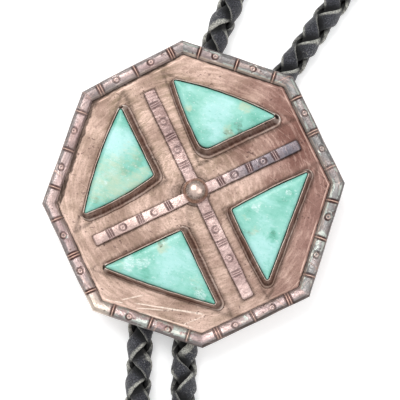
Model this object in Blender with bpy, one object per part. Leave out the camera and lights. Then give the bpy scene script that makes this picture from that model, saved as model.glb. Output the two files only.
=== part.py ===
"""Bolo tie: an eight-sided silver slide with four turquoise stones, lying on a surface on its braided cord.

Metres, +Z up. The origin is under the middle of the slide, on the surface. +Y is the slide's own up:
the neck loop leaves it towards +Y and the two tails towards -Y. The slide's face looks up.
"""

import math

import bmesh
import bpy
from mathutils import Matrix, Vector

# Slide plate and the frame strip soldered round its edge
SLIDE_ACROSS = 0.0618
PLATE_THICK = 0.0010
PLATE_INSET = 0.0001
FRAME_WIDTH = 0.0028
FRAME_HEIGHT = 0.0012
FRAME_BEVEL = 0.0006
SOLDER_SINK = 0.0002

# The plate's hand-cut corners, from the right one counter-clockwise: each one's distance from the middle
# as a share of a regular outline's, and how far it is turned from the regular place, in degrees
CORNERS = [
    {"out_share": 0.983, "turn": 0.2},
    {"out_share": 1.008, "turn": 1.3},
    {"out_share": 1.022, "turn": 0.7},
    {"out_share": 0.995, "turn": -1.2},
    {"out_share": 0.988, "turn": 0.1},
    {"out_share": 1.006, "turn": 0.5},
    {"out_share": 1.002, "turn": -0.7},
    {"out_share": 1.001, "turn": -0.8},
]

# Crossed bars and the ball near their crossing
BAR_WIDTH = 0.0025
BAR_HEIGHT = 0.0009
BAR_HALF_LENGTH = 0.3997 * SLIDE_ACROSS
BAR_BEVEL = 0.0003
BAR_END_ROUNDING = 0.0006
BAR_STEP = 0.0001
BALL_DIAMETER = 0.0055
BALL_RISE = 0.0039
BALL_SIDES = 24
BALL_RINGS = 7
BALL_TOP_ANGLE = 86.0

# Each bar's direction in degrees, its length and width as shares of the common ones, and its middle's
# place as shares of the common width
BARS = [
    {
        "turn": 44.2, "length_share": 1.0, "width_share": 1.0,
        "x_share": 0.22, "y_share": 0.145, "step_share": 0.0,
    },
    {
        "turn": -45.8, "length_share": 1.02, "width_share": 1.12,
        "x_share": 0.336, "y_share": 0.11, "step_share": 1.0,
    },
]

# The ball's place, as shares of its diameter
BALL_PLACE = {"x_share": 0.025, "y_share": 0.096}

# Three-cornered stones: how far out the inner corner and the long edge lie, and half the long edge
STONE_CORNER_OUT = 0.1521 * SLIDE_ACROSS
STONE_EDGE_OUT = 0.3447 * SLIDE_ACROSS
STONE_HALF_EDGE = 0.2039 * SLIDE_ACROSS
STONE_HEIGHT = 0.0026
STONE_CROWN = 0.0007
STONE_SHOULDER = 0.0011
STONE_ROUNDING = 0.0005
CORNER_STEPS = 3

# Hand-cut differences between the stones, as shares of the sizes above: turn in degrees, inner corner
# out, long edge out, the two halves of the long edge, inner corner sideways, inner corner's rounding
STONES = {
    "stone_up": {
        "turn": -1.2, "corner_share": 0.961, "edge_share": 1.027,
        "left_share": 1.018, "right_share": 0.885, "aside_share": -0.119,
        "inner_rounding_share": 4.6,
    },
    "stone_right": {
        "turn": -92.0, "corner_share": 0.948, "edge_share": 1.014,
        "left_share": 1.034, "right_share": 0.992, "aside_share": 0.051,
        "inner_rounding_share": 1.0,
    },
    "stone_down": {
        "turn": 180.1, "corner_share": 0.933, "edge_share": 1.013,
        "left_share": 0.974, "right_share": 1.054, "aside_share": -0.002,
        "inner_rounding_share": 1.0,
    },
    "stone_left": {
        "turn": 90.5, "corner_share": 1.006, "edge_share": 0.992,
        "left_share": 0.955, "right_share": 1.020, "aside_share": 0.065,
        "inner_rounding_share": 1.0,
    },
}

# Bezel walls round the stones
BEZEL_HEIGHT = 0.0023
BEZEL_LIP = 0.0004
BEZEL_FOOT = 0.0009
BEZEL_FOOT_HEIGHT = 0.0008

# Cord and the keeper that it passes through
CORD_DIAMETER = 0.0058
CLEARANCE = 0.0003
KEEPER_WALL = 0.0010
KEEPER_WEB = 0.0012
KEEPER_NOTCH = 0.0007
KEEPER_LENGTH = 0.0200
KEEPER_FLANGE = 0.0040
KEEPER_CHAMFER = 0.0012

# Silver cord tips
TIP_LENGTH = 0.0380
TIP_COLLAR_RADIUS = 0.0036
TIP_COLLAR_LENGTH = 0.0040
TIP_NECK_RADIUS = 0.0031
TIP_END_RADIUS = 0.0019
TIP_SIDES = 16
TIP_ROUND_STEPS = 4

# Sampling of the cord's tube, and the height that keeps it just off the surface
TUBE_STEP = 0.0125
TUBE_RESOLUTION = 4
CURVE_STEPS = 24
FLOOR_LIFT = 0.00005
SETTLE_LENGTH = 0.0130

# Places that follow from the sizes
CORD_RADIUS = CORD_DIAMETER / 2
CHANNEL_WIDTH = CORD_DIAMETER + 2 * CLEARANCE
CHANNEL_X = (CHANNEL_WIDTH + KEEPER_WEB) / 2
CHANNEL_Z = KEEPER_WALL + CLEARANCE + CORD_RADIUS
KEEPER_TOP = KEEPER_WALL + CHANNEL_WIDTH
PLATE_BACK = KEEPER_TOP + CLEARANCE
PLATE_TOP = PLATE_BACK + PLATE_THICK
LYING_Z = CORD_RADIUS + FLOOR_LIFT
MOUTH_Y = KEEPER_LENGTH / 2 + 0.0010
TIP_TAPER = math.asin(
    (TIP_COLLAR_RADIUS - TIP_END_RADIUS) / (TIP_LENGTH - TIP_COLLAR_LENGTH - TIP_END_RADIUS)
)
TIP_START_Z = (
    TIP_COLLAR_RADIUS * math.cos(TIP_TAPER) + TIP_COLLAR_LENGTH * math.sin(TIP_TAPER) + 2 * FLOOR_LIFT
)

# The cord's route, in millimetres: x and y of its middle, chosen by hand. It starts at the left tail's
# end, runs up through the left channel, round the neck loop and down through the right channel.
MM = 0.001
TAIL_LEFT_MM = [(4.3, -50.9), (2.7, -46.2), (0.6, -39.0), (-1.7, -31.2), (-3.0, -24.0), (-3.6, -16.6)]
LOOP_MM = [
    (-4.1, 16.8), (-5.4, 24.4), (-6.8, 32.4), (-6.7, 38.6), (-6.3, 44.8), (-7.6, 57.0), (-13.0, 78.0),
    (-20.2, 104.0), (-25.0, 133.0), (-26.2, 160.0), (-24.8, 184.4), (-16.6, 202.8), (1.2, 210.2),
    (19.4, 202.4), (27.0, 184.6), (27.4, 160.0), (26.0, 132.0), (23.2, 102.0), (20.3, 76.0),
    (18.0, 61.0), (16.1, 52.4), (13.1, 42.2), (10.1, 32.2), (7.4, 24.0), (4.9, 16.4),
]
TAIL_RIGHT_MM = [(4.3, -16.4), (5.8, -23.4), (8.4, -31.2), (10.2, -37.0), (12.0, -42.6), (13.7, -47.6)]


def clear_scene():
    """Removes every object, so that the part stands alone."""
    for found in list(bpy.data.objects):
        bpy.data.objects.remove(found)


def material(name, colour, roughness, metallic):
    """A Principled material with the sub-part's colour, roughness and metallic value."""
    made = bpy.data.materials.new(name)
    made.use_nodes = True
    shader = made.node_tree.nodes["Principled BSDF"]
    shader.inputs["Base Color"].default_value = (*colour, 1.0)
    shader.inputs["Roughness"].default_value = roughness
    shader.inputs["Metallic"].default_value = metallic
    return made


def add_object(name, data, finish=None):
    """Links a mesh or curve as an object of that name."""
    made = bpy.data.objects.new(name, data)
    bpy.context.scene.collection.objects.link(made)
    if finish:
        data.materials.append(finish)
    return made


def loft(name, sections, closed_path=False, finish=None):
    """A closed solid through sections of equal point counts. A closed path joins the last to the first."""
    builder = bmesh.new()
    rings = [[builder.verts.new(point) for point in section] for section in sections]
    count = len(rings[0])
    pairs = list(zip(rings[:-1], rings[1:], strict=True))
    if closed_path:
        pairs.append((rings[-1], rings[0]))
    for low, high in pairs:
        for i in range(count):
            j = (i + 1) % count
            builder.faces.new((low[i], low[j], high[j], high[i]))
    if not closed_path:
        builder.faces.new(list(reversed(rings[0])))
        builder.faces.new(rings[-1])
    bmesh.ops.recalc_face_normals(builder, faces=builder.faces)
    mesh = bpy.data.meshes.new(name)
    builder.to_mesh(mesh)
    builder.free()
    return add_object(name, mesh, finish)


def join(target, others):
    """Unites other solids with target by Boolean unions, and applies them."""
    for other in others:
        union = target.modifiers.new("solder", "BOOLEAN")
        union.operation = "UNION"
        union.object = other
    bpy.context.view_layer.update()
    graph = bpy.context.evaluated_depsgraph_get()
    united = bpy.data.meshes.new_from_object(target.evaluated_get(graph))
    target.modifiers.clear()
    target.data = united
    for other in others:
        bpy.data.objects.remove(other)


def slide_outline():
    """The hand-cut plate's corners, counter-clockwise round the origin, a flat side towards +Y."""
    step = 2 * math.pi / len(CORNERS)
    radius = SLIDE_ACROSS / 2 / math.cos(step / 2)
    points = []
    for i, row in enumerate(CORNERS):
        angle = step * (i + 0.5) + math.radians(row["turn"])
        points.append(Vector((math.cos(angle), math.sin(angle))) * radius * row["out_share"])
    return points


def moved_edges(corners, outwards):
    """The corners of a counter-clockwise outline whose edges have all moved outwards by that much."""
    moved = []
    for i, corner in enumerate(corners):
        before = (corner - corners[i - 1]).normalized()
        after = (corners[(i + 1) % len(corners)] - corner).normalized()
        normals = (Vector((before.y, -before.x)), Vector((after.y, -after.x)))
        middle = (normals[0] + normals[1]).normalized()
        moved.append(corner + middle * (outwards / middle.dot(normals[0])))
    return moved


def rounded(corners, radii):
    """A counter-clockwise outline with each corner replaced by an arc of its own radius."""
    points = []
    for i, (corner, radius) in enumerate(zip(corners, radii, strict=True)):
        back = (corners[i - 1] - corner).normalized()
        on = (corners[(i + 1) % len(corners)] - corner).normalized()
        half = math.acos(max(-1.0, min(1.0, back.dot(on)))) / 2
        centre = corner + (back + on).normalized() * (radius / math.sin(half))
        start = corner + back * (radius / math.tan(half)) - centre
        sweep = math.pi - 2 * half
        for k in range(CORNER_STEPS + 1):
            points.append(centre + Matrix.Rotation(sweep * k / CORNER_STEPS, 2) @ start)
    return points


def at_height(outline, z):
    """A flat outline lifted to z."""
    return [Vector((point.x, point.y, z)) for point in outline]


def ring_solid(name, rings):
    """A closed ring whose cross-section runs through matching points of nested outlines."""
    sections = [[ring[i] for ring in rings] for i in range(len(rings[0]))]
    return loft(name, sections, closed_path=True)


def circle(radius, count):
    """Points round a circle in the XY plane."""
    angles = [2 * math.pi * i / count for i in range(count)]
    return [Vector((radius * math.cos(a), radius * math.sin(a))) for a in angles]


def stone_corners(shares):
    """The three corners of a stone, counter-clockwise, from its row of shares."""
    edge = shares["edge_share"] * STONE_EDGE_OUT
    points = [
        Vector((shares["aside_share"] * STONE_HALF_EDGE, shares["corner_share"] * STONE_CORNER_OUT)),
        Vector((shares["right_share"] * STONE_HALF_EDGE, edge)),
        Vector((-shares["left_share"] * STONE_HALF_EDGE, edge)),
    ]
    turn = Matrix.Rotation(math.radians(shares["turn"]), 2)
    return [turn @ point for point in points]


def stone_radii(shares, wider):
    """The rounding of a stone's three corners, each made wider by the same amount."""
    inner = STONE_ROUNDING * shares["inner_rounding_share"]
    return [inner + wider, STONE_ROUNDING + wider, STONE_ROUNDING + wider]


def make_stone(name, shares, finish):
    """A flat-topped stone with a sloped shoulder, a small gap above the plate."""
    corners = stone_corners(shares)
    top = PLATE_TOP + STONE_HEIGHT
    shape = [
        (0.0, PLATE_TOP + CLEARANCE),
        (0.0, top - STONE_CROWN),
        (-STONE_SHOULDER * 0.35, top - STONE_CROWN * 0.35),
        (-STONE_SHOULDER, top),
    ]
    radii = stone_radii(shares, 0.0)
    sections = [at_height(rounded(moved_edges(corners, out), radii), z) for out, z in shape]
    return loft(name, sections, finish=finish)


def make_bezel(shares):
    """The wall round one stone, from a foot sunk in the plate to a thin lip."""
    corners = stone_corners(shares)
    outer = CLEARANCE + BEZEL_LIP
    wall = [
        (CLEARANCE, PLATE_TOP - SOLDER_SINK),
        (outer + BEZEL_FOOT, PLATE_TOP - SOLDER_SINK),
        (outer + BEZEL_FOOT, PLATE_TOP + SOLDER_SINK),
        (outer + BEZEL_FOOT * 0.35, PLATE_TOP + BEZEL_FOOT_HEIGHT),
        (outer, PLATE_TOP + BEZEL_HEIGHT),
        (CLEARANCE, PLATE_TOP + BEZEL_HEIGHT),
    ]
    rings = []
    for out, z in wall:
        rings.append(at_height(rounded(moved_edges(corners, out), stone_radii(shares, out)), z))
    return ring_solid("bezel", rings)


def make_frame_strip():
    """The convex strip round the plate's edge, mitred at the corners."""
    outline = slide_outline()
    low = PLATE_TOP - SOLDER_SINK
    top = PLATE_TOP + FRAME_HEIGHT
    profile = [
        (0.0, low),
        (0.0, top - FRAME_BEVEL),
        (-FRAME_BEVEL, top),
        (-FRAME_WIDTH + FRAME_BEVEL, top),
        (-FRAME_WIDTH, top - FRAME_BEVEL),
        (-FRAME_WIDTH, low),
    ]
    return ring_solid("frame_strip", [at_height(moved_edges(outline, out), z) for out, z in profile])


def make_bar(row):
    """One of the two crossed bars, with bevelled long edges and rounded ends."""
    low = PLATE_TOP - SOLDER_SINK
    top = PLATE_TOP + BAR_HEIGHT - row["step_share"] * BAR_STEP
    place = Matrix.Translation((row["x_share"] * BAR_WIDTH, row["y_share"] * BAR_WIDTH, 0.0))
    place @= Matrix.Rotation(math.radians(row["turn"]), 4, "Z")
    reach = BAR_HALF_LENGTH * row["length_share"]
    wide = BAR_WIDTH * row["width_share"] / 2
    ends = [(-reach, wide - BAR_END_ROUNDING), (-reach + BAR_END_ROUNDING, wide)]
    ends += [(reach - BAR_END_ROUNDING, wide), (reach, wide - BAR_END_ROUNDING)]
    sections = []
    for x, half in ends:
        shape = [(-half, low), (half, low), (half, top - BAR_BEVEL), (half - BAR_BEVEL, top)]
        shape += [(-half + BAR_BEVEL, top), (-half, top - BAR_BEVEL)]
        sections.append([place @ Vector((x, y, z)) for y, z in shape])
    return loft("bar", sections)


def make_ball():
    """The ball near the crossing, cut flat where it sinks into the plate."""
    radius = BALL_DIAMETER / 2
    middle = Vector((BALL_PLACE["x_share"] * BALL_DIAMETER, BALL_PLACE["y_share"] * BALL_DIAMETER))
    centre_z = PLATE_TOP + BALL_RISE - radius
    low = math.asin(max(-0.99, (PLATE_TOP - SOLDER_SINK - centre_z) / radius))
    high = math.radians(BALL_TOP_ANGLE)
    sections = []
    for k in range(BALL_RINGS):
        lift = low + (high - low) * k / (BALL_RINGS - 1)
        ring = [middle + point for point in circle(radius * math.cos(lift), BALL_SIDES)]
        sections.append(at_height(ring, centre_z + radius * math.sin(lift)))
    return loft("ball", sections)


def make_slide(finish):
    """Plate, frame strip, crossed bars, ball and bezels as one soldered solid."""
    outline = moved_edges(slide_outline(), -PLATE_INSET)
    slide = loft("slide", [at_height(outline, PLATE_BACK), at_height(outline, PLATE_TOP)], finish=finish)
    others = [make_frame_strip(), make_ball(), *(make_bar(row) for row in BARS)]
    others += [make_bezel(shares) for shares in STONES.values()]
    join(slide, others)
    return slide


def make_keeper(finish):
    """The bent strap behind the slide: two channels open to the plate, flat underneath, with side flanges."""
    inner = KEEPER_WEB / 2
    channel = inner + CHANNEL_WIDTH
    outer = channel + KEEPER_WALL
    cut = KEEPER_CHAMFER
    right = [
        (KEEPER_NOTCH, 0.0),
        (outer - cut, 0.0),
        (outer, cut),
        (outer, KEEPER_TOP - KEEPER_WALL),
        (outer + KEEPER_FLANGE, KEEPER_TOP - KEEPER_WALL),
        (outer + KEEPER_FLANGE, KEEPER_TOP),
        (channel, KEEPER_TOP),
        (channel, KEEPER_WALL + cut),
        (channel - cut, KEEPER_WALL),
        (inner + cut, KEEPER_WALL),
        (inner, KEEPER_WALL + cut),
        (inner, KEEPER_TOP),
    ]
    left = [(-x, z) for x, z in reversed(right)]
    shape = [*right, *left, (0.0, KEEPER_NOTCH)]
    sections = [[Vector((x, y, z)) for x, z in shape] for y in (-KEEPER_LENGTH / 2, KEEPER_LENGTH / 2)]
    return loft("cord_keeper", sections, finish=finish)


def route_height(y):
    """The cord's middle: raised inside the keeper, easing down to the surface beyond its mouths."""
    away = min(1.0, max(0.0, (abs(y) - MOUTH_Y) / SETTLE_LENGTH))
    ease = away * away * (3 - 2 * away)
    return CHANNEL_Z + (LYING_Z - CHANNEL_Z) * ease


def route_points():
    """The route's points in metres, and the numbers of those that part its stretches."""

    def lying(rows):
        return [Vector((x * MM, y * MM, route_height(y * MM))) for x, y in rows]

    def channel(x, ends):
        return [Vector((x, y, CHANNEL_Z)) for y in ends]

    up = (-MOUTH_Y, -MOUTH_Y / 2, MOUTH_Y / 2, MOUTH_Y)
    parts = [
        lying(TAIL_LEFT_MM),
        channel(-CHANNEL_X, up),
        lying(LOOP_MM),
        channel(CHANNEL_X, tuple(reversed(up))),
        lying(TAIL_RIGHT_MM),
    ]
    points = [point for part in parts for point in part]
    for end, before in ((points[0], points[1]), (points[-1], points[-2])):
        run = math.hypot(end.x - before.x, end.y - before.y)
        end.z = TIP_START_Z
        before.z = TIP_START_Z + run * math.tan(TIP_TAPER)
    first = len(TAIL_LEFT_MM)
    third = first + len(up) + len(LOOP_MM)
    mouths = (first, first + len(up) - 1, third, third + len(up) - 1)
    return points, (0, 1, *mouths, len(points) - 2, len(points) - 1)


def smooth(points):
    """A smooth curve through the points: for each stretch between two of them, its CURVE_STEPS points."""
    ends = [2 * points[0] - points[1], *points, 2 * points[-1] - points[-2]]
    stretches = []
    for p0, p1, p2, p3 in zip(ends, ends[1:], ends[2:], ends[3:], strict=False):
        stretch = []
        for k in range(CURVE_STEPS):
            t = k / CURVE_STEPS
            stretch.append(
                0.5
                * (
                    2 * p1
                    + (p2 - p0) * t
                    + (2 * p0 - 5 * p1 + 4 * p2 - p3) * t**2
                    + (3 * p1 - p0 - 3 * p2 + p3) * t**3
                )
            )
        stretches.append(stretch)
    return stretches


def spaced(line, step):
    """The line's points at even distances of about step, both ends included."""
    along = [0.0]
    for a, b in zip(line[:-1], line[1:], strict=True):
        along.append(along[-1] + (b - a).length)
    count = max(1, round(along[-1] / step))
    found = []
    place = 0
    for k in range(count + 1):
        target = along[-1] * k / count
        while place < len(line) - 2 and along[place + 1] < target:
            place += 1
        share = (target - along[place]) / (along[place + 1] - along[place])
        found.append(line[place].lerp(line[place + 1], min(1.0, share)))
    return found


def cord_line():
    """The tube's points. It is straight in the channels and into the tips, and spaced evenly elsewhere."""
    points, stations = route_points()
    stretches = smooth(points)
    line = []
    for number, (a, b) in enumerate(zip(stations[:-1], stations[1:], strict=True)):
        fine = [point for stretch in stretches[a:b] for point in stretch] + [points[b]]
        straight = number in (0, 2, 4, 6)
        part = [points[a], points[b]] if straight else spaced(fine, TUBE_STEP)
        line += part if not line else part[1:]
    return line


def make_cord(finish):
    """The whole braided cord as one plain tube."""
    line = cord_line()
    curve = bpy.data.curves.new("braided_cord", "CURVE")
    curve.dimensions = "3D"
    curve.bevel_depth = CORD_RADIUS
    curve.bevel_resolution = TUBE_RESOLUTION
    curve.use_fill_caps = True
    spline = curve.splines.new("POLY")
    spline.points.add(len(line) - 1)
    for point, place in zip(spline.points, line, strict=True):
        point.co = (*place, 1.0)
    return add_object("braided_cord", curve, finish)


def make_tip(name, end, before, finish):
    """A plain turned tip that goes on from the cord's end, its underside along the surface."""
    shape = [
        (0.0, TIP_COLLAR_RADIUS),
        (TIP_COLLAR_LENGTH, TIP_COLLAR_RADIUS),
        (TIP_COLLAR_LENGTH, TIP_NECK_RADIUS),
        (TIP_LENGTH - TIP_END_RADIUS, TIP_END_RADIUS),
    ]
    for k in range(1, TIP_ROUND_STEPS):
        angle = math.pi / 2 * k / TIP_ROUND_STEPS
        along = TIP_LENGTH - TIP_END_RADIUS + TIP_END_RADIUS * math.sin(angle)
        shape.append((along, TIP_END_RADIUS * math.cos(angle)))
    flat = Vector((end.x - before.x, end.y - before.y, 0.0)).normalized()
    heading = (flat * math.cos(TIP_TAPER) - Vector((0, 0, 1)) * math.sin(TIP_TAPER)).normalized()
    start = end + heading * CLEARANCE
    place = Matrix.Translation(start) @ heading.to_track_quat("Z", "Y").to_matrix().to_4x4()
    sections = [[place @ point for point in at_height(circle(r, TIP_SIDES), along)] for along, r in shape]
    return loft(name, sections, finish=finish)


def main():
    """Builds every sub-part."""
    clear_scene()
    silver = material("tarnished_silver", (0.62, 0.50, 0.44), 0.42, 1.0)
    bright = material("plain_silver", (0.66, 0.64, 0.61), 0.35, 1.0)
    turquoise = material("turquoise", (0.36, 0.74, 0.64), 0.35, 0.0)
    leather = material("black_leather", (0.045, 0.045, 0.05), 0.6, 0.0)
    make_slide(silver)
    for name, shares in STONES.items():
        make_stone(name, shares, turquoise)
    make_keeper(bright)
    make_cord(leather)
    line = cord_line()
    make_tip("tip_left", line[0], line[1], bright)
    make_tip("tip_right", line[-1], line[-2], bright)


main()
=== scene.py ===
"""The looks of a bolo tie: a stamped silver slide with four turquoise stones, on its braided leather cord.

Everything is in metres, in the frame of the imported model: +Z up, the slide's face looking up, and the
neck loop towards +Y.
"""

import logging
import math
from dataclasses import dataclass, field
from enum import Enum

import bmesh
import bpy
import numpy as np
from mathutils import Matrix, Vector, noise


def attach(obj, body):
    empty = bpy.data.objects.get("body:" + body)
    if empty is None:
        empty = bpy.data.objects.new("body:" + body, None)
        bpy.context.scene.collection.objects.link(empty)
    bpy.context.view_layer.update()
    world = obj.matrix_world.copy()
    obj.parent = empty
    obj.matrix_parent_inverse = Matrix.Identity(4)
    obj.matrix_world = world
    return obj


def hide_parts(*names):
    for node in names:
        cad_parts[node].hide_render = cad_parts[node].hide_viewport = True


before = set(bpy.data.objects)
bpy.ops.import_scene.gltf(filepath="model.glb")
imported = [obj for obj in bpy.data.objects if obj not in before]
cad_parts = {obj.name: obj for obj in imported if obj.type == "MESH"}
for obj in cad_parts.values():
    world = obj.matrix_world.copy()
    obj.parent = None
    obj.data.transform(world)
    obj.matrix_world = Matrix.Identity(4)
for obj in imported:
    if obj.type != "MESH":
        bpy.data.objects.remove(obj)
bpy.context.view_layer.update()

LOG = logging.getLogger("bolo_tie")
BODY = "root"
MM = 0.001
FLAT = (1.0, 1.0, 0.0)

Colour = tuple[float, float, float, float]


def tone(red: float, green: float, blue: float) -> Colour:
    """A linear colour from one read off a screen.

    Args:
        red: Red, 0 to 255.
        green: Green, 0 to 255.
        blue: Blue, 0 to 255.

    Returns:
        The linear colour with alpha 1.
    """

    def linear(value: float) -> float:
        """One channel, made linear."""
        share = value / 255
        return share / 12.92 if share <= 0.04045 else ((share + 0.055) / 1.055) ** 2.4

    return (linear(red), linear(green), linear(blue), 1.0)


class Value:
    """A node's output, with which sums on numbers or vectors are written as usual."""

    def __init__(self, graph: "Graph", socket: bpy.types.NodeSocket) -> None:
        """Holds the output and the graph that it belongs to."""
        self.graph, self.socket = graph, socket

    def _sum(self, operation: str, first: object, second: object) -> "Value":
        """One operation, on vectors where this output is a vector."""
        work = self.graph.vector if self.socket.type == "VECTOR" else self.graph.math
        return work(operation, first, second)

    def __add__(self, other: object) -> "Value":
        """The sum."""
        return self._sum("ADD", self, other)

    def __sub__(self, other: object) -> "Value":
        """The difference."""
        return self._sum("SUBTRACT", self, other)

    def __rsub__(self, other: object) -> "Value":
        """The difference from a constant."""
        return self._sum("SUBTRACT", other, self)

    def __mul__(self, other: object) -> "Value":
        """The product."""
        return self._sum("MULTIPLY", self, other)

    def __truediv__(self, other: object) -> "Value":
        """The quotient."""
        return self._sum("DIVIDE", self, other)

    def __abs__(self) -> "Value":
        """The size of a number."""
        return self.graph.math("ABSOLUTE", self)

    def scaled(self, factor: object) -> "Value":
        """The vector times a number."""
        return self.graph.vector("SCALE", self, factor)

    __radd__, __rmul__ = __add__, __mul__


class Graph:
    """Adds and links nodes in one node tree."""

    def __init__(self, tree: bpy.types.NodeTree) -> None:
        """Starts on a tree, which is emptied."""
        self.tree = tree
        tree.nodes.clear()

    def feed(self, sockets: object, values: dict) -> None:
        """Links or sets inputs.

        Args:
            sockets: A node's inputs.
            values: Outputs or constants by the input's name or number.
        """
        for key, value in values.items():
            if isinstance(value, Value):
                self.tree.links.new(value.socket, sockets[key])
            else:
                sockets[key].default_value = value

    def add(self, kind: str, inputs: dict | None = None, **settings: object) -> bpy.types.Node:
        """Adds a node.

        Args:
            kind: The node's type.
            inputs: Values or outputs by the input's name or number.
            **settings: The node's own properties.

        Returns:
            The node.
        """
        node = self.tree.nodes.new(kind)
        for key, value in settings.items():
            setattr(node, key, value)
        self.feed(node.inputs, inputs or {})
        return node

    def made(
        self, kind: str, inputs: dict | None = None, output: int | str = 0, **settings: object
    ) -> Value:
        """Adds a node, as add does, and returns its named or numbered output."""
        return Value(self, self.add(kind, inputs, **settings).outputs[output])

    def outputs(self, node: bpy.types.Node) -> dict[str, Value]:
        """All of a node's outputs by name."""
        return {socket.name: Value(self, socket) for socket in node.outputs}

    def group(self, tree: bpy.types.NodeTree, **inputs: object) -> dict[str, Value]:
        """Adds a shader group with these inputs and returns its outputs by name."""
        return self.outputs(self.add("ShaderNodeGroup", inputs, node_tree=tree))

    def math(self, operation: str, *values: object, clamp: bool = False) -> Value:
        """An operation on numbers, its result kept between 0 and 1 if clamp is set."""
        return self.made("ShaderNodeMath", dict(enumerate(values)), operation=operation, use_clamp=clamp)

    def vector(self, operation: str, *values: object) -> Value:
        """An operation on vectors. DOT_PRODUCT, LENGTH and DISTANCE give a number."""
        keys = (0, "Scale") if operation == "SCALE" else (0, 1, 2)
        number = operation in ("DOT_PRODUCT", "LENGTH", "DISTANCE")
        inputs = dict(zip(keys, values, strict=False))
        return self.made("ShaderNodeVectorMath", inputs, int(number), operation=operation)

    def layers(self, colour: object, *layers: tuple[object, Colour]) -> Value:
        """Lays colours over one another.

        Args:
            colour: The lowest colour.
            *layers: The share and the colour of each layer, from the lowest up.

        Returns:
            The mixed colour.
        """
        for share, over in layers:
            colour = self.made("ShaderNodeMix", {0: share, 6: colour, 7: over}, 2, data_type="RGBA")
        return colour

    def rise(
        self, value: object, low: float, high: float, bottom: float = 0.0, top: float = 1.0
    ) -> Value:
        """A smooth step from bottom to top as value goes from low to high."""
        inputs = dict(enumerate((value, low, high, bottom, top)))
        return self.made("ShaderNodeMapRange", inputs, interpolation_type="SMOOTHSTEP")

    def clouds(self, where: object, scale: object, detail: float = 3.0, rough: float = 0.5) -> Value:
        """Soft noise of about 0.3 to 0.7, with scale features per metre and finer layers."""
        inputs = {"Vector": where, "Scale": scale, "Detail": detail, "Roughness": rough}
        return self.made("ShaderNodeTexNoise", inputs)

    def attribute(self, name: str) -> Value:
        """A number painted on the mesh."""
        return self.made("ShaderNodeAttribute", output="Fac", attribute_name=name)

    def split(self, vector: object) -> list[Value]:
        """A vector's three parts."""
        return list(self.outputs(self.add("ShaderNodeSeparateXYZ", {0: vector})).values())

    def join(self, x: object = 0.0, y: object = 0.0, z: object = 0.0) -> Value:
        """A vector from its parts."""
        return self.made("ShaderNodeCombineXYZ", {0: x, 1: y, 2: z})

    def store(self, shape: Value, name: str, value: object) -> Value:
        """Stores a number on each point of a shape."""
        inputs = {"Geometry": shape, "Name": name, "Value": value}
        return self.made("GeometryNodeStoreNamedAttribute", inputs, data_type="FLOAT", domain="POINT")

    def dressed(self, shape: Value, material: bpy.types.Material) -> Value:
        """Makes a shape real and gives it its material."""
        shape = self.made("GeometryNodeRealizeInstances", {"Geometry": shape})
        return self.made("GeometryNodeSetMaterial", {"Geometry": shape, "Material": material})


def new_tree(kind: str, name: str, inputs: dict[str, object], outputs: dict[str, object]) -> tuple:
    """Makes an empty node group.

    Args:
        kind: The tree's type.
        name: The group's name.
        inputs: Its inputs by name, each with a number's default or its kind in a word.
        outputs: Its outputs in the same way.

    Returns:
        The graph, the group's inputs by name, and what to feed with its results.
    """
    tree = bpy.data.node_groups.new(name, kind)
    for way, sockets in (("INPUT", inputs), ("OUTPUT", outputs)):
        for label, value in sockets.items():
            number = isinstance(value, float)
            socket_type = "NodeSocket" + ("Float" if number else value)
            made = tree.interface.new_socket(name=label, in_out=way, socket_type=socket_type)
            if number:
                made.default_value = value
    graph = Graph(tree)
    return graph, graph.outputs(graph.add("NodeGroupInput")), graph.add("NodeGroupOutput").inputs


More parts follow.
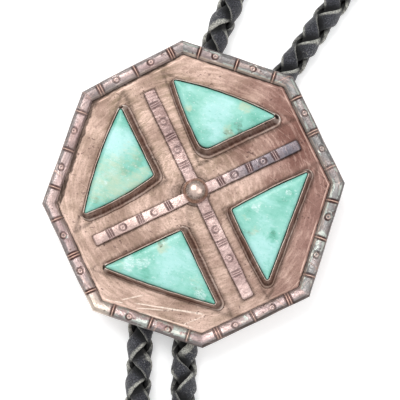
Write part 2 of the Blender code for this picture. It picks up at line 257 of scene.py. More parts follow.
class EffectGroups:
    """The shader node groups that several finishes share."""

    def __init__(self) -> None:
        """Builds each group once."""
        self.patina, self.scratches = self._patina(), self._scratches()
        self.rubbed, self.scored = self._rubbed(), self._scored()

    @staticmethod
    def _start(name: str, inputs: dict[str, float], *outputs: str) -> tuple:
        """Makes an empty group with a Vector input, number inputs and number outputs."""
        return new_tree("ShaderNodeTree", name, {"Vector": "Vector", **inputs}, dict.fromkeys(outputs, 0.0))

    def _patina(self) -> bpy.types.NodeTree:
        """Clouds of tarnish, streaks brushed in rings round the middle, and specks."""
        graph, given, out = self._start(
            "patina", {"Scale": 120.0, "Streak": 6.0}, "Clouds", "Streaks", "Specks"
        )
        where, scale = given["Vector"], given["Scale"]
        broad = graph.clouds(where, scale, 5.0, 0.62)
        flat = where * FLAT
        radius = graph.vector("LENGTH", flat) + broad * 0.0022
        x, y, _ = graph.split(graph.vector("NORMALIZE", flat))
        drawn = graph.join(x * 0.02, y * 0.02, radius * given["Streak"])
        fine = graph.clouds(drawn, scale * 2.2, 5.0, 0.7)
        specks = graph.clouds(where, scale * 22.0, 2.0, 0.6)
        graph.feed(out, {
            "Clouds": graph.rise(broad, 0.36, 0.66),
            "Streaks": graph.rise(fine, 0.36, 0.64),
            "Specks": graph.rise(specks, 0.3, 0.7),
        })
        return graph.tree

    def _scratches(self) -> bpy.types.NodeTree:
        """Thin scratches that run one way and fade in and out."""
        graph, given, out = self._start(
            "scratches", {"Turn": 0.0, "Fineness": 2600.0, "Share": 0.3}, "Mask"
        )
        inputs = {"Vector": given["Vector"], "Angle": given["Turn"]}
        turned = graph.made("ShaderNodeVectorRotate", inputs, rotation_type="Z_AXIS")
        lines = graph.clouds(turned * (0.035, 1.0, 0.3), given["Fineness"], 1.0, 0.4)
        start = 0.78 - given["Share"] * 0.35
        line = graph.math("MULTIPLY", lines - start, 14.0, clamp=True)
        patches = graph.rise(graph.clouds(turned, 160.0, 2.0), 0.42, 0.62)
        graph.feed(out, {"Mask": line * patches})
        return graph.tree

    def _scored(self) -> bpy.types.NodeTree:
        """One long scored line from a start point, broken here and there."""
        graph, given, out = self._start(
            "scored", {"X": 0.0, "Y": 0.0, "Turn": 0.0, "Length": 0.01, "Width": 0.00019}, "Mask"
        )
        where = given["Vector"]
        inputs = {"Vector": where - graph.join(given["X"], given["Y"]), "Angle": given["Turn"] * -1.0}
        x, y, _ = graph.split(graph.made("ShaderNodeVectorRotate", inputs, rotation_type="Z_AXIS"))
        off = abs(y + (graph.clouds(where, 150.0, 1.0) - 0.5) * 0.0005)
        thin = graph.math("SUBTRACT", 1.0, off / given["Width"], clamp=True)
        share = x / given["Length"]
        along = graph.rise(share, 0.0, 0.1) * graph.rise(share, 0.9, 1.0, 1.0, 0.0)
        broken = graph.rise(graph.clouds(where, 700.0, 2.0), 0.3, 0.5, 0.35, 1.0)
        graph.feed(out, {"Mask": thin * along * broken})
        return graph.tree

    def _rubbed(self) -> bpy.types.NodeTree:
        """Small rubbed spots and wrinkles, for leather."""
        graph, given, out = self._start("rubbed", {"Scale": 900.0}, "Wrinkles", "Grain")
        where, scale = given["Vector"], given["Scale"]
        cells = graph.made(
            "ShaderNodeTexVoronoi", {"Vector": where, "Scale": scale}, "Distance", feature="DISTANCE_TO_EDGE"
        )
        grain = graph.clouds(where, scale * 2.6, 3.0, 0.7)
        graph.feed(out, {
            "Wrinkles": graph.rise(cells, 0.03, 0.16, 1.0, 0.0),
            "Grain": graph.rise(grain, 0.32, 0.68),
        })
        return graph.tree


def new_material(name: str) -> tuple[bpy.types.Material, Graph, bpy.types.Node]:
    """Makes a material that holds one Principled shader.

    Args:
        name: The material's name.

    Returns:
        The material, its graph and the shader.
    """
    made = bpy.data.materials.new(name)
    made.use_nodes = True
    graph = Graph(made.node_tree)
    shader = graph.add("ShaderNodeBsdfPrincipled")
    graph.add("ShaderNodeOutputMaterial", {"Surface": Value(graph, shader.outputs[0])})
    return made, graph, shader


@dataclass(frozen=True)
class Finish:
    """A material that covers a kind of piece."""

    name: str

    def build(self, groups: EffectGroups) -> bpy.types.Material:
        """Makes the material.

        Args:
            groups: The shared shader groups.

        Returns:
            The material.
        """
        made, graph, shader = new_material(self.name)
        where = graph.made("ShaderNodeTexCoord", output="Object")
        values = self.paint(graph, where, groups)
        height, strength, depth = values.pop("Relief")
        values["Normal"] = graph.made(
            "ShaderNodeBump", {"Height": height, "Strength": strength, "Distance": depth}
        )
        graph.feed(shader.inputs, values)
        return made

    def paint(self, graph: Graph, where: Value, groups: EffectGroups) -> dict[str, object]:
        """Draws the finish.

        Args:
            graph: The material's graph.
            where: The object's coordinates.
            groups: The shared shader groups.

        Returns:
            What feeds the shader's inputs, and the relief's height, strength and depth.
        """
        raise NotImplementedError


@dataclass(frozen=True)
class WornSilver(Finish):
    """Old silver under a brown patina, with dirt and painted shade in its corners, and pale on its ridges
    from wear and from painted highlights.
    """

    bright: Colour = tone(200, 173, 159)
    dull: Colour = tone(164, 137, 123)
    olive: Colour = tone(136, 118, 96)
    red: Colour = tone(138, 102, 94)
    scorched: Colour = tone(112, 75, 66)
    grey: Colour = tone(142, 142, 139)
    pale: Colour = tone(196, 202, 190)
    # Dark brown, for specks of dirt and for painted shade in corners and beside raised parts
    grime: Colour = tone(62, 48, 40)
    groove: Colour = tone(72, 46, 44)
    ridge: Colour = tone(238, 206, 190)
    scored: Colour = tone(240, 224, 210)
    cream: Colour = tone(222, 204, 188)
    scorched_at: tuple[float, float, float] = (0.0168, 0.0195, 0.0)
    red_share: float = 0.85
    olive_share: float = 0.45
    scored_lines: tuple[tuple[float, float, float, float], ...] = ()
    scratch_share: float = 0.4
    rust_share: float = 0.7
    roughness: float = 0.5
    metallic: float = 0.75
    relief: float = 0.6

    def paint(self, graph: Graph, where: Value, groups: EffectGroups) -> dict[str, object]:
        """Draws the patina, its stains, the scratches, the dirt with the painted shade, and the painted
        highlights, from low to high.
        """
        patina = graph.group(groups.patina, Vector=where)
        clouds, streaks, specks = (patina[key] for key in ("Clouds", "Streaks", "Specks"))
        far = where + (0.37, 0.11, 0.0)
        blotch = graph.rise(graph.clouds(far, 95.0, 4.0, 0.6), 0.5, 0.68)
        # The olive round the bezels is partly stain and partly painted shade
        olive_stain_and_shade = graph.attribute("olive") * graph.rise(streaks, 0.0, 1.0, 0.5, 1.3)
        olive = graph.math("MAXIMUM", blotch * 0.7, olive_stain_and_shade)
        ragged = graph.clouds(far, 700.0, 3.0, 0.6) - 0.5
        patch = graph.rise(graph.attribute("patch") + ragged * 1.4, 0.45, 0.6)
        wander = (clouds - 0.5) * 0.007
        x, y, _ = graph.split(where)
        to_red = graph.rise(y * 0.55 + x + wander, 0.002, 0.030)
        away = graph.vector("DISTANCE", where * FLAT, self.scorched_at)
        scorched = graph.rise(away - wander, 0.002, 0.0150, self.red_share, 0.0)
        scored = []
        for x, y, turn, length in self.scored_lines:
            line = graph.group(
                groups.scored, Vector=where, X=x * MM, Y=y * MM, Turn=math.radians(turn), Length=length * MM
            )
            scored.append((line["Mask"] * 0.9, self.scored))
        lines = 0.0
        for turn, share in ((0.35, 0.3), (-1.1, 0.2), (2.4, 0.15)):
            scratch = graph.group(groups.scratches, Vector=where, Turn=turn, Share=share)
            lines = graph.math("MAXIMUM", lines, scratch["Mask"])
        rust = graph.rise(graph.clouds(where + (0.2, 0.6, 0.4), 1250.0, 3.0, 0.6), 0.59, 0.66)
        rust = rust * graph.rise(graph.clouds(where, 210.0, 2.0), 0.46, 0.6)
        # Dirt together with painted shade in corners, creases and beside whatever stands up
        dirt_and_shade = graph.attribute("grime")
        colour = graph.layers(
            self.bright,
            (clouds, self.dull),
            (streaks * 0.35, self.dull),
            (graph.rise(streaks, 0.6, 1.0, 0.0, 0.28), self.olive),
            (olive * self.olive_share, self.olive),
            (to_red * self.red_share, self.red),
            (scorched, self.scorched),
            (graph.attribute("rim"), self.grey),
            (patch * 0.85, self.pale),
            *scored,
            (lines * self.scratch_share, self.ridge),
            (graph.rise(specks, 0.55, 1.0, 0.0, 0.25), self.grime),
            (graph.rise(streaks, 0.02, 0.35, 0.16, 0.0), self.ridge),
            (graph.attribute("cream"), self.cream),
            (rust * self.rust_share, self.groove),
            # Dirt and painted shade
            (dirt_and_shade * graph.rise(streaks, -0.2, 0.9, 0.6, 1.0), self.grime),
            # Pale on ridges and lips, partly polish and partly painted highlight
            (graph.attribute("ridge") * 0.8, self.ridge),
            # Dark in the marks' grooves and the bezels' pits, partly oxide and partly painted shade
            (graph.attribute("groove") * 0.9, self.groove),
        )
        return {
            "Base Color": colour,
            "Roughness": clouds * 0.14 + self.roughness + dirt_and_shade * 0.25,
            "Metallic": self.metallic,
            "Relief": (specks * 0.5 - lines + streaks * 0.35, self.relief, 0.00006),
        }


@dataclass(frozen=True)
class PlainSilver(Finish):
    """Plain silver that is lightly brushed, for what the photograph doesn't show."""

    bright: Colour = tone(214, 208, 198)
    dull: Colour = tone(158, 148, 136)
    # Dark, for dirt and painted shade in the tips' grooves
    grime: Colour = tone(70, 62, 54)
    roughness: float = 0.3

    def paint(self, graph: Graph, where: Value, groups: EffectGroups) -> dict[str, object]:
        """Draws faint clouds, brushing, and dirt with painted shade."""
        patina = graph.group(groups.patina, Vector=where, Scale=170.0)
        lines = graph.group(groups.scratches, Vector=where, Share=0.4)["Mask"]
        colour = graph.layers(
            self.bright, (patina["Clouds"], self.dull), (graph.attribute("grime"), self.grime)
        )
        return {
            "Base Color": colour,
            "Roughness": patina["Streaks"] * 0.16 + self.roughness,
            "Metallic": 1.0,
            "Relief": (patina["Streaks"] - lines, 0.35, 0.00004),
        }


@dataclass(frozen=True)
class Turquoise(Finish):
    """Pale blue-green stone with teal clouds, cream patches and a brown-green matrix."""

    name: str = "turquoise"
    body: Colour = tone(142, 204, 190)
    teal: Colour = tone(98, 180, 158)
    deep: Colour = tone(62, 140, 116)
    cream: Colour = tone(182, 198, 168)
    matrix: Colour = tone(78, 84, 64)
    light: Colour = tone(168, 218, 214)
    white: Colour = tone(206, 228, 226)

    def paint(self, graph: Graph, where: Value, groups: EffectGroups) -> dict[str, object]:
        """Draws the stone's clouds, its painted spots, threads and grains."""
        patina = graph.group(groups.patina, Vector=where, Scale=260.0, Streak=1.5)
        drawn = where * (0.6, 1.5, 1.0)
        fine = graph.clouds(drawn, 760.0, 6.0, 0.74)
        jitter = (fine - 0.5) * 2.3

        def broken(name: str, low: float, high: float) -> Value:
            """A painted spot whose edge is broken up by fine noise."""
            value = graph.attribute(name)
            inside = graph.math("MINIMUM", value * 4.0, 1.0)
            return graph.rise(value + jitter * inside, low, high)

        threads = abs(graph.clouds(drawn + (0.3, 0.1, 0.2), 620.0, 4.0, 0.65) - 0.5)
        threads = graph.rise(threads, 0.0, 0.04, 1.0, 0.0)
        wisps = graph.clouds(drawn + (0.7, 0.4, 0.6), 330.0, 5.0, 0.7)
        chalk = broken("white", 0.2, 0.9) * graph.rise(threads, 0.0, 1.0, 0.3, 1.0)
        veins = broken("matrix", 0.3, 1.1) * graph.rise(threads, 0.0, 1.0, 0.45, 1.0)
        grains = graph.clouds(where + (0.2, 0.5, 0.1), 1700.0, 3.0, 0.6)
        colour = graph.layers(
            self.body,
            (patina["Clouds"] * 0.4, self.teal),
            (graph.rise(wisps, 0.52, 0.68, 0.0, 0.5), self.light),
            (graph.rise(wisps, 0.32, 0.46, 0.4, 0.0), self.teal),
            (broken("pale", 0.0, 1.1) * 0.8, self.light),
            (broken("teal", 0.0, 1.1) * 0.85, self.teal),
            (broken("teal", 0.75, 1.5) * 0.8, self.deep),
            (broken("cream", 0.1, 1.1) * 0.75, self.cream),
            (chalk * 0.85, self.white),
            (threads * graph.rise(fine, 0.52, 0.62, 0.0, 0.22), self.white),
            (veins * 0.8, self.matrix),
            (graph.rise(grains, 0.6, 0.72, 0.0, 0.5), self.white),
            (graph.rise(grains, 0.28, 0.42, 0.4, 0.0), self.teal),
        )
        return {
            "Base Color": colour,
            "Roughness": veins * 0.25 + 0.34,
            "Coat Weight": 0.25,
            "Coat Roughness": 0.15,
            "Relief": (patina["Specks"] - veins * 3.0, 0.3, 0.00004),
        }


@dataclass(frozen=True)
class BraidLeather(Finish):
    """Dark lace leather with a dull face and pale fibrous cut edges."""

    name: str = "braid_leather"
    face: Colour = tone(52, 53, 60)
    worn: Colour = tone(128, 128, 136)
    edge: Colour = tone(240, 238, 226)
    # Near black, for the creases and for painted shade between and under the laces
    deep: Colour = tone(4, 4, 5)

    def paint(self, graph: Graph, where: Value, groups: EffectGroups) -> dict[str, object]:
        """Draws the worn face, the wrinkles and the raw edges, with painted shade where a lace dips under the
        others.
        """
        rubbed = graph.group(groups.rubbed, Vector=where, Scale=1700.0)
        grain, creases = rubbed["Grain"], rubbed["Wrinkles"] * 0.55
        along, across = graph.attribute("along"), graph.attribute("across")
        patches = graph.clouds(where, 170.0, 3.0, 0.6)
        # Short pale wrinkles that lie across the lace
        ribs = graph.rise(graph.clouds(graph.join(along, across * 0.0007), 2600.0, 2.0, 0.6), 0.54, 0.66)
        ribs = ribs * graph.rise(patches, 0.48, 0.62)
        ragged = graph.clouds(graph.join(along * 5.0, across), 260.0, 4.0, 0.7)
        jitter = ragged - 0.5
        near = graph.rise(across + jitter + graph.rise(patches, 0.46, 0.68) * 0.5, 0.62, 0.74)
        other = graph.rise(jitter - across, 0.86, 0.96)
        raw = graph.math("MAXIMUM", near, other * 0.7)
        fibre = graph.clouds(graph.join(along, across * 0.004), 3200.0, 3.0, 0.7)
        mottled = graph.rise(fibre, 0.38, 0.58, 0.3, 1.0) * graph.rise(grain, 0.1, 0.7, 0.5, 1.0)
        colour = graph.layers(
            self.face,
            (graph.rise(grain, 0.4, 1.0) * 0.8, self.worn),
            (ribs * 0.35, self.edge),
            (creases, self.deep),
            (raw * mottled, self.edge),
            # Painted shade where a lace dips under the others and on the core between them
            (graph.rise(graph.attribute("over"), -0.25, 0.75, 0.98, 0.0), self.deep),
        )
        return {
            "Base Color": colour,
            "Roughness": graph.rise(raw, 0.0, 1.0, 0.4, 0.85),
            "Relief": (grain * 0.8 - creases + ragged * raw + ribs * 0.6, 0.9, 0.0002),
        }


def placed(name: str, data: bpy.types.ID) -> bpy.types.Object:
    """Makes an object and puts it in the scene."""
    made = bpy.data.objects.new(name, data)
    bpy.context.scene.collection.objects.link(made)
    return made


def face_outwards(mesh: bpy.types.Mesh) -> None:
    """Turns a mesh's faces so that they all point outwards."""
    builder = bmesh.new()
    builder.from_mesh(mesh)
    bmesh.ops.recalc_face_normals(builder, faces=builder.faces)
    builder.to_mesh(mesh)
    builder.free()


def at_height(outline: np.ndarray, z: float) -> np.ndarray:
    """The points of a flat outline at one height."""
    return np.column_stack([outline, np.full(len(outline), z)])


def heading(degrees: float) -> tuple[np.ndarray, np.ndarray]:
    """The direction at an angle, and the one a quarter turn to its left."""
    c, s = math.cos(math.radians(degrees)), math.sin(math.radians(degrees))
    return np.array([c, s]), np.array([-s, c])


def level_away(grid: np.ndarray, middle: object = 0.0) -> np.ndarray:
    """The level direction of each point away from a middle, of length 1."""
    ways = grid - middle
    ways[..., 2] = 0
    return ways / np.linalg.norm(ways, axis=-1)[..., None]


def lathed(profile: list[tuple[float, float]], steps: int) -> np.ndarray:
    """The points of a profile of radii and heights, turned about the Z axis."""
    angles = np.linspace(0, 2 * math.pi, steps + 1)[:-1]
    return np.array([[(r * math.cos(a), r * math.sin(a), z) for a in angles] for r, z in profile])


def grid_object(
    name: str,
    rows: np.ndarray,
    wrap_rows: bool = False,
    wrap_columns: bool = False,
    caps: bool = False,
    painted: dict[str, np.ndarray] | None = None,
) -> bpy.types.Object:
    """A mesh over a grid of points.

    Args:
        name: The object's name.
        rows: Points, as rows by columns by 3.
        wrap_rows: Whether the last row joins the first.
        wrap_columns: Whether each row's last point joins its first.
        caps: Whether the first and last row are closed with a fan to their middle.
        painted: Numbers to store on the points, as rows by columns.

    Returns:
        The object, its faces pointing outwards and shaded smooth.
    """
    count, width = rows.shape[:2]
    points = [tuple(point) for point in rows.reshape(-1, 3)]
    number = np.arange(count * width).reshape(count, width)
    faces = []
    for i in range(count if wrap_rows else count - 1):
        low, high = number[i], number[(i + 1) % count]
        for j in range(width if wrap_columns else width - 1):
            k = (j + 1) % width
            faces.append((int(low[j]), int(low[k]), int(high[k]), int(high[j])))
    values = {key: list(map(float, value.reshape(-1))) for key, value in (painted or {}).items()}
    if caps:
        for i in (0, count - 1):
            middle = len(points)
            points.append(tuple(rows[i].mean(0)))
            for key, value in (painted or {}).items():
                values[key].append(float(value[i].mean()))
            for j in range(width):
                faces.append((int(number[i][j]), int(number[i][(j + 1) % width]), middle))
    mesh = bpy.data.meshes.new(name)
    mesh.from_pydata(points, [], faces)
    for key, value in values.items():
        mesh.attributes.new(key, "FLOAT", "POINT").data.foreach_set("value", value)
    face_outwards(mesh)
    mesh.shade_smooth()
    return placed(name, mesh)


def final_mesh(piece: bpy.types.Object) -> bpy.types.Mesh:
    """What a piece's modifiers make of it, as a plain mesh."""
    bpy.context.view_layer.update()
    graph = bpy.context.evaluated_depsgraph_get()
    mesh = bpy.data.meshes.new_from_object(piece.evaluated_get(graph), depsgraph=graph)
    piece.modifiers.clear()
    return mesh


def tree_mesh(piece: bpy.types.Object, tree: bpy.types.NodeTree, values: dict) -> bpy.types.Mesh:
    """What a geometry tree makes of a piece.

    Args:
        piece: The object that the tree starts from.
        tree: The geometry tree.
        values: Its inputs by name.

    Returns:
        The plain mesh.
    """
    modifier = piece.modifiers.new(tree.name, "NODES")
    modifier.node_group = tree
    for item in tree.interface.items_tree:
        if item.in_out == "INPUT" and item.name in values:
            modifier[item.identifier] = values[item.name]
    return final_mesh(piece)


def dress(
    piece: bpy.types.Object, material: bpy.types.Material | None, slot: str, *nodes: str
) -> bpy.types.Object:
    """Gives a piece its material, its body and the solids that it stands for.

    Args:
        piece: The object.
        material: Its material, or None to keep its own.
        slot: Not used.
        *nodes: The CAD nodes that it replaces.

    Returns:
        The same object.
    """
    if material:
        piece.data.materials.clear()
        piece.data.materials.append(material)
    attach(piece, BODY)
    if nodes:
        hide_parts(*nodes)
    LOG.info("%s: %d faces", piece.name, len(piece.data.polygons))
    return piece


def moved_edges(corners: np.ndarray, out: float | np.ndarray) -> np.ndarray:
    """Corners of a counter-clockwise outline whose edges have moved outwards.

    Args:
        corners: The corners, one row each. Edge i runs from corner i to the next.
        out: How far the edges move, one number for all or one for each.

    Returns:
        The new corners.
    """
    out = np.broadcast_to(out, len(corners))
    ways = np.roll(corners, -1, 0) - corners
    ways /= np.linalg.norm(ways, axis=1)[:, None]
    normals = np.stack([ways[:, 1], -ways[:, 0]], 1)
    moved = []
    for i, corner in enumerate(corners):
        pair = normals[[i - 1, i]]
        moved.append(np.linalg.solve(pair, pair @ corner + out[[i - 1, i]]))
    return np.array(moved)


def softened(
    corners: np.ndarray, radii: list[float], per_edge: int, per_corner: int, bows: tuple[float, ...] = ()
) -> np.ndarray:
    """An outline with rounded corners, its edges cut into equal steps.

    Args:
        corners: The corners, counter-clockwise.
        radii: Each corner's radius.
        per_edge: Steps along an edge.
        per_corner: Steps round a corner.
        bows: How far each edge's middle stands out, or nothing for straight edges.

    Returns:
        The outline's points.
    """
    arcs = []
    for i, corner in enumerate(corners):
        back = corners[i - 1] - corner
        on = corners[(i + 1) % len(corners)] - corner
        back, on = back / np.linalg.norm(back), on / np.linalg.norm(on)
        half = math.acos(float(np.clip(back @ on, -1, 1))) / 2
        bisector = (back + on) / np.linalg.norm(back + on)
        centre = corner + bisector * (radii[i] / math.sin(half))
        start = corner + back * (radii[i] / math.tan(half)) - centre
        sweep = math.pi - 2 * half
        arc = []
        for k in range(per_corner + 1):
            c, s = math.cos(sweep * k / per_corner), math.sin(sweep * k / per_corner)
            arc.append(centre + np.array([start[0] * c - start[1] * s, start[0] * s + start[1] * c]))
        arcs.append(np.array(arc))
    points = []
    for i, arc in enumerate(arcs):
        points.append(arc)
        steps = np.arange(1, per_edge)[:, None] / per_edge
        way = arcs[(i + 1) % len(arcs)][0] - arc[-1]
        out = np.array([way[1], -way[0]]) / np.linalg.norm(way) * (bows[i] if bows else 0.0)
        points.append(arc[-1] + way * steps + out * 4 * steps * (1 - steps))
    return np.concatenate(points)


def waver(points: np.ndarray, scale: float, reach: float, seed: float) -> np.ndarray:
    """Small hand-made unevenness.

    Args:
        points: Points, as any shape that ends in 3.
        scale: Waves per metre.
        reach: How far a point may move.
        seed: A number that picks the pattern.

    Returns:
        Offsets along Z, one for each point.
    """
    flat = points.reshape(-1, 3)
    found = [noise.noise(Vector((p[0] * scale, p[1] * scale, p[2] * scale + seed))) for p in flat]
    return (np.array(found) * reach).reshape(points.shape[:-1])


class Mark(Enum):
    """The kinds of punch mark on the silver."""

    LINES = 0
    RING = 1
    PAIR = 2


@dataclass(frozen=True)
class Stamp:
    """One punch mark: its kind, its place, the way that its strip runs, and how hard it was struck."""

    kind: Mark
    x: float
    y: float
    turn: float
    force: float = 1.0


@dataclass
class StampPress:
    """Presses punch marks into a strip, with a Geometry Nodes tree."""

    depth: float = 0.00028
    line_width: float = 0.00026
    line_gap: float = 0.00060
    line_reach: float = 0.00190
    ring_radius: float = 0.00072
    seed: float = 3.0

    def _points(self, stamps: list[Stamp]) -> bpy.types.Object:
        """Makes a loose point for each mark, which the tree reads."""
        mesh = bpy.data.meshes.new("stamp_places")
        mesh.from_pydata([(s.x, s.y, 0.0) for s in stamps], [], [])
        for name, values in (
            ("kind", [float(s.kind.value) for s in stamps]),
            ("turn", [s.turn for s in stamps]),
            ("force", [s.force for s in stamps]),
        ):
            mesh.attributes.new(name, "FLOAT", "POINT").data.foreach_set("value", values)
        return placed("stamp_places", mesh)

    def tree(self, material: bpy.types.Material) -> bpy.types.NodeTree:
        """Builds the tree.

        Args:
            material: The pressed strip's material.

        Returns:
            The tree, whose inputs are the marks and their sizes.
        """
        sizes = ("Depth", "Line Width", "Line Gap", "Line Reach", "Ring Radius", "Seed")
        inputs = {"Geometry": "Geometry", "Stamps": "Object", **dict.fromkeys(sizes, 0.0)}
        graph, given, out = new_tree(
            "GeometryNodeTree", "press_stamps", inputs, {"Geometry": "Geometry"}
        )
        places = graph.made("GeometryNodeObjectInfo", {"Object": given["Stamps"]}, "Geometry")
        here = graph.made("GeometryNodeInputPosition")
        level = here * FLAT
        nearest = graph.made(
            "GeometryNodeSampleNearest", {"Geometry": places, "Sample Position": level}, domain="POINT"
        )

        def sampled(value: Value, kind: str) -> Value:
            """What the nearest mark holds."""
            held = {"Geometry": places, "Value": value, "Index": nearest}
            return graph.made("GeometryNodeSampleIndex", held, data_type=kind, domain="POINT")

        def named(name: str) -> Value:
            """A number stored on the points."""
            return graph.made(
                "GeometryNodeInputNamedAttribute", {"Name": name}, "Attribute", data_type="FLOAT"
            )

        def chosen(share: Value, first: Value, second: Value) -> Value:
            """The first number where share is 0 and the second where it is 1."""
            return first + share * (second - first)

        def near(distance: Value, reach: object) -> Value:
            """1 on the line, falling smoothly to 0 at reach."""
            return graph.rise(distance / reach, 0.35, 1.0, 1.0, 0.0)

        away = level - sampled(here, "FLOAT_VECTOR")
        turn, kind, force = (sampled(named(key), "FLOAT") for key in ("turn", "kind", "force"))
        x, y, _ = graph.split(away)
        cos, sin = graph.math("COSINE", turn), graph.math("SINE", turn)
        off, across = abs(x * cos + y * sin), abs(y * cos - x * sin)
        gap, wide, ring_radius = (given[key] for key in ("Line Gap", "Line Width", "Ring Radius"))
        outer, between = graph.math("MINIMUM", off, abs(off - gap)), abs(off - gap * 0.5)
        is_ring, is_pair = (
            graph.math("COMPARE", kind, float(mark.value), 0.1) for mark in (Mark.RING, Mark.PAIR)
        )
        inside = near(across, given["Line Reach"])
        lines = near(chosen(is_pair, outer, between), wide) * inside
        ridges = near(chosen(is_pair, between, off), wide) * inside
        radius = graph.vector("LENGTH", away)
        # A ring is often struck at a slant, so one side of it is fainter
        slant = (x + y) / (ring_radius * 3.0) * graph.math("SINE", turn * 37.0)
        ring = near(abs(radius - ring_radius), wide * 0.85)
        ring = graph.math("MULTIPLY", ring, slant + 0.72, clamp=True)
        ring = graph.math("MAXIMUM", ring, near(radius, ring_radius * 0.34) * 0.45)
        centre = near(abs(radius - ring_radius * 0.6), wide * 0.8) * 0.4
        struck = named("press")
        force = struck * force
        # The marks' hollows are painted dark and their raised lines pale: partly oxide and polish, partly
        # painted shade and highlight
        groove, ridge = chosen(is_ring, lines, ring) * force, chosen(is_ring, ridges, centre) * force
        dents = graph.made(
            "ShaderNodeTexNoise", {"Vector": here, "Scale": 420.0, "W": given["Seed"]}, noise_dimensions="4D"
        )
        lift = (ridge * 0.35 - groove) * given["Depth"] + (dents - 0.5) * 0.00022 * struck
        shape = graph.store(graph.store(given["Geometry"], "groove", groove), "ridge", ridge)
        shape = graph.made("GeometryNodeSetPosition", {"Geometry": shape, "Offset": graph.join(z=lift)})
        graph.feed(out, {"Geometry": graph.dressed(shape, material)})
        return graph.tree

    def press(
        self, piece: bpy.types.Object, stamps: list[Stamp], material: bpy.types.Material
    ) -> bpy.types.Object:
        """Presses the marks into a piece.

        Args:
            piece: The strip, with a "press" number on its points that says where it may be struck.
            stamps: The marks.
            material: Its material.

        Returns:
            The piece, as a plain mesh.
        """
        places = self._points(stamps)
        piece.data = tree_mesh(piece, self.tree(material), {
            "Stamps": places, "Depth": self.depth, "Line Width": self.line_width, "Line Gap": self.line_gap,
            "Line Reach": self.line_reach, "Ring Radius": self.ring_radius, "Seed": self.seed,
        })
        bpy.data.objects.remove(places)
        return piece


@dataclass(frozen=True)
class StonePlan:
    """One stone's hand-cut shape, as shares of the common sizes, and what it is coloured with.

    Its three corners and edges are counted from the inner corner, counter-clockwise. The tips' radii, the
    walls' widths and the edges' bows are in millimetres, and a pit is how deep the bezel is struck at a
    tip. A spot is its x, y and radius in millimetres, and its strength.
    """

    name: str
    turn: float
    corner: float
    edge: float
    left: float
    right: float
    aside: float
    tips: tuple[float, float, float]
    walls: tuple[float, float, float]
    bows: tuple[float, float, float] = (0.0, 0.0, 0.0)
    pits: tuple[float, float, float] = (0.0, 0.0, 0.0)
    teal: tuple[tuple[float, float, float, float], ...] = ()
    cream: tuple[tuple[float, float, float, float], ...] = ()
    matrix: tuple[tuple[float, float, float, float], ...] = ()
    pale: tuple[tuple[float, float, float, float], ...] = ()
    white: tuple[tuple[float, float, float, float], ...] = ()


